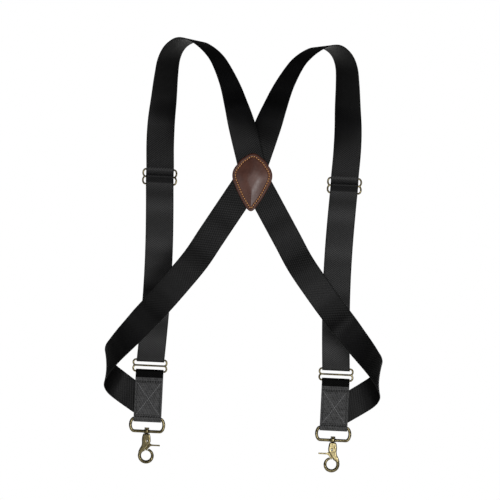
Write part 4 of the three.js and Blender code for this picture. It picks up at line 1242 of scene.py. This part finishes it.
def rivet_profile():
    """Radius and height of a pin with a domed head at each end, from tip to tip."""
    reach = HOOK_THICK / 2 + HEAD_LIFT
    angle = np.radians(np.linspace(89, 0, 9))
    cap = np.stack([HEAD_RADIUS * np.cos(angle), reach + HEAD_DOME * np.sin(angle)], 1)
    upper = np.vstack([cap, [[PIN_RADIUS, reach]]])
    return np.vstack([upper, upper[::-1] * [1, -1]])


def spring_line(x):
    """A helix: the angle grows along the wire while y grows by one pitch for each turn."""
    turn = np.linspace(0, SPRING_TURNS, 30 * SPRING_TURNS + 1)
    angle = 2 * math.pi * turn
    y = SPRING_START_Y + SPRING_PITCH * turn
    return np.stack([x + SPRING_RADIUS * np.cos(angle), y, PIN_Z + SPRING_RADIUS * np.sin(angle)], 1)


for side, mirror in SIDES.items():
    x = -PIN_X * mirror
    rivet = turned(rivet_profile(), (x, FRONT_Y, PIN_Z), (0, 1, 0))
    rivet = skin(f"rivet_{side}", carried(np.swapaxes(rivet, 0, 1)), sharp_degrees=40.0)
    finish(rivet, f"hook_{side}", "pin_steel", STEEL, f"trigger_pin_{side}")
    spring = skin(f"torsion_spring_{side}", carried(tube(spring_line(x), SPRING_WIRE / 2, sides=10)))
    finish(spring, f"hook_{side}", "pin_steel", STEEL, f"trigger_spring_{side}")
print("rivets and springs")

# %% [markdown]
# ## Studio
# The suspenders hang in the air as they are worn, above a plain pale floor. Black webbing shows only what
# it reflects, so the lights matter more than its colour. The camera stands far off with a long lens, so
# near and far straps are drawn at one scale.

# %% Camera
VIEW_WIDTH = 683.5  # what the camera takes in at the suspenders' distance
VIEW_MIDDLE = (1.7, 0.0, -93.0)
VIEW_ROLL = 2.75  # degrees that the camera is rolled, so that the suspenders look turned clockwise
LENS = 800.0
SENSOR = 36.0


def add_camera():
    """Its distance is the view's width times the lens's length over the sensor's width."""
    data = bpy.data.cameras.new("camera")
    data.lens = LENS
    data.sensor_width = SENSOR
    distance = VIEW_WIDTH * LENS / SENSOR
    data.clip_end = 100.0
    camera = bpy.data.objects.new("camera", data)
    camera.location = [(c - (distance if k == 1 else 0)) * MM for k, c in enumerate(VIEW_MIDDLE)]
    camera.rotation_euler = (math.pi / 2, -math.radians(VIEW_ROLL), 0.0)
    bpy.context.scene.collection.objects.link(camera)
    bpy.context.scene.camera = camera
    return distance


print("camera stands", round(add_camera() * MM, 2), "m away")

# %% [markdown]
# The floor is painted board. The sky uses the Light Path node: it is white where the camera looks straight
# at it, lights matt surfaces at half strength, and is nearly black in reflections, so that the webbing's
# gloss fades where it doesn't face a softbox and the metal keeps its dark edges.

# %% Floor and sky
FLOOR_Z = -640
FLOOR_RADIUS = 2600
FLOOR_SIDES = 64
CLOUD_MM = 333
SKY_GLOSS = 0.04
SKY_FILL = 0.5


def add_floor():
    """A flat disc with its clouds of lighter and darker paint."""
    angle = np.linspace(0, 2 * math.pi, FLOOR_SIDES, endpoint=False)
    ring = np.stack([FLOOR_RADIUS * np.cos(angle), FLOOR_RADIUS * np.sin(angle),
                     np.full(FLOOR_SIDES, FLOOR_Z)], 1)
    floor = new_mesh("floor", ring, [list(range(FLOOR_SIDES))])
    material, tree, shader = new_material("pale_painted_board")
    place = node(tree, "TexCoord", {}, "Object")
    cloud = node(tree, "TexNoise", {"Vector": place, "Scale": per_metre(CLOUD_MM)})
    colour = node(tree, "Mix", {MIX_SHARE: cloud, MIX_A: linear("#e9e9e7"), MIX_B: linear("#f2f2f0")},
                  MIX_COLOUR, data_type="RGBA")
    plug(tree, shader, {"Base Color": colour, "Roughness": 0.9})
    floor.data.materials.append(material)


def add_sky():
    """Strength is one for the camera, the fill for matt surfaces and the gloss for reflections."""
    world = bpy.data.worlds.new("studio")
    world.use_nodes = True
    tree = world.node_tree
    seen, matt = (node(tree, "LightPath", {}, f"Is {kind} Ray") for kind in ("Camera", "Diffuse"))
    light = node(tree, "MapRange", {"Value": matt, "To Min": SKY_GLOSS, "To Max": SKY_FILL})
    strength = node(tree, "MapRange", {"Value": seen, "To Min": light, "To Max": 1.0})
    plug(tree, tree.nodes["Background"], {"Color": (1.0, 1.0, 1.0, 1.0), "Strength": strength})
    bpy.context.scene.world = world


add_floor()
add_sky()
print("floor at", FLOOR_Z, "mm")

# %% [markdown]
# A softbox is an area light. The key light stands a little to the right of the camera, so surfaces that
# face the camera are the brightest and those that turn away fall off to black. A weak one on the left
# opens the shadows, and one in front of the wearer lights the inner faces for the other views.

# %% Softboxes
AIM = (0.0, 0.0, -0.1)


def add_softbox(name, place, size, watts):
    """An area light of a width and height in metres that faces the middle of the suspenders."""
    data = bpy.data.lights.new(name, "AREA")
    data.shape = "RECTANGLE"
    data.size, data.size_y = size
    data.energy = watts
    light = bpy.data.objects.new(name, data)
    light.location = place
    way = np.asarray(AIM) - np.asarray(place)
    light.rotation_euler = (math.atan2(math.hypot(way[0], way[1]), -way[2]), 0.0, math.atan2(-way[0], way[1]))
    bpy.context.scene.collection.objects.link(light)


add_softbox("key softbox", (0.5, -2.3, -0.25), (0.6, 0.6), 13)
add_softbox("fill softbox", (-1.3, -2.0, -0.3), (0.6, 1.2), 3)
add_softbox("front softbox", (0.4, 2.4, -0.1), (1.2, 1.2), 9)
bpy.context.scene.view_settings.view_transform = "Standard"
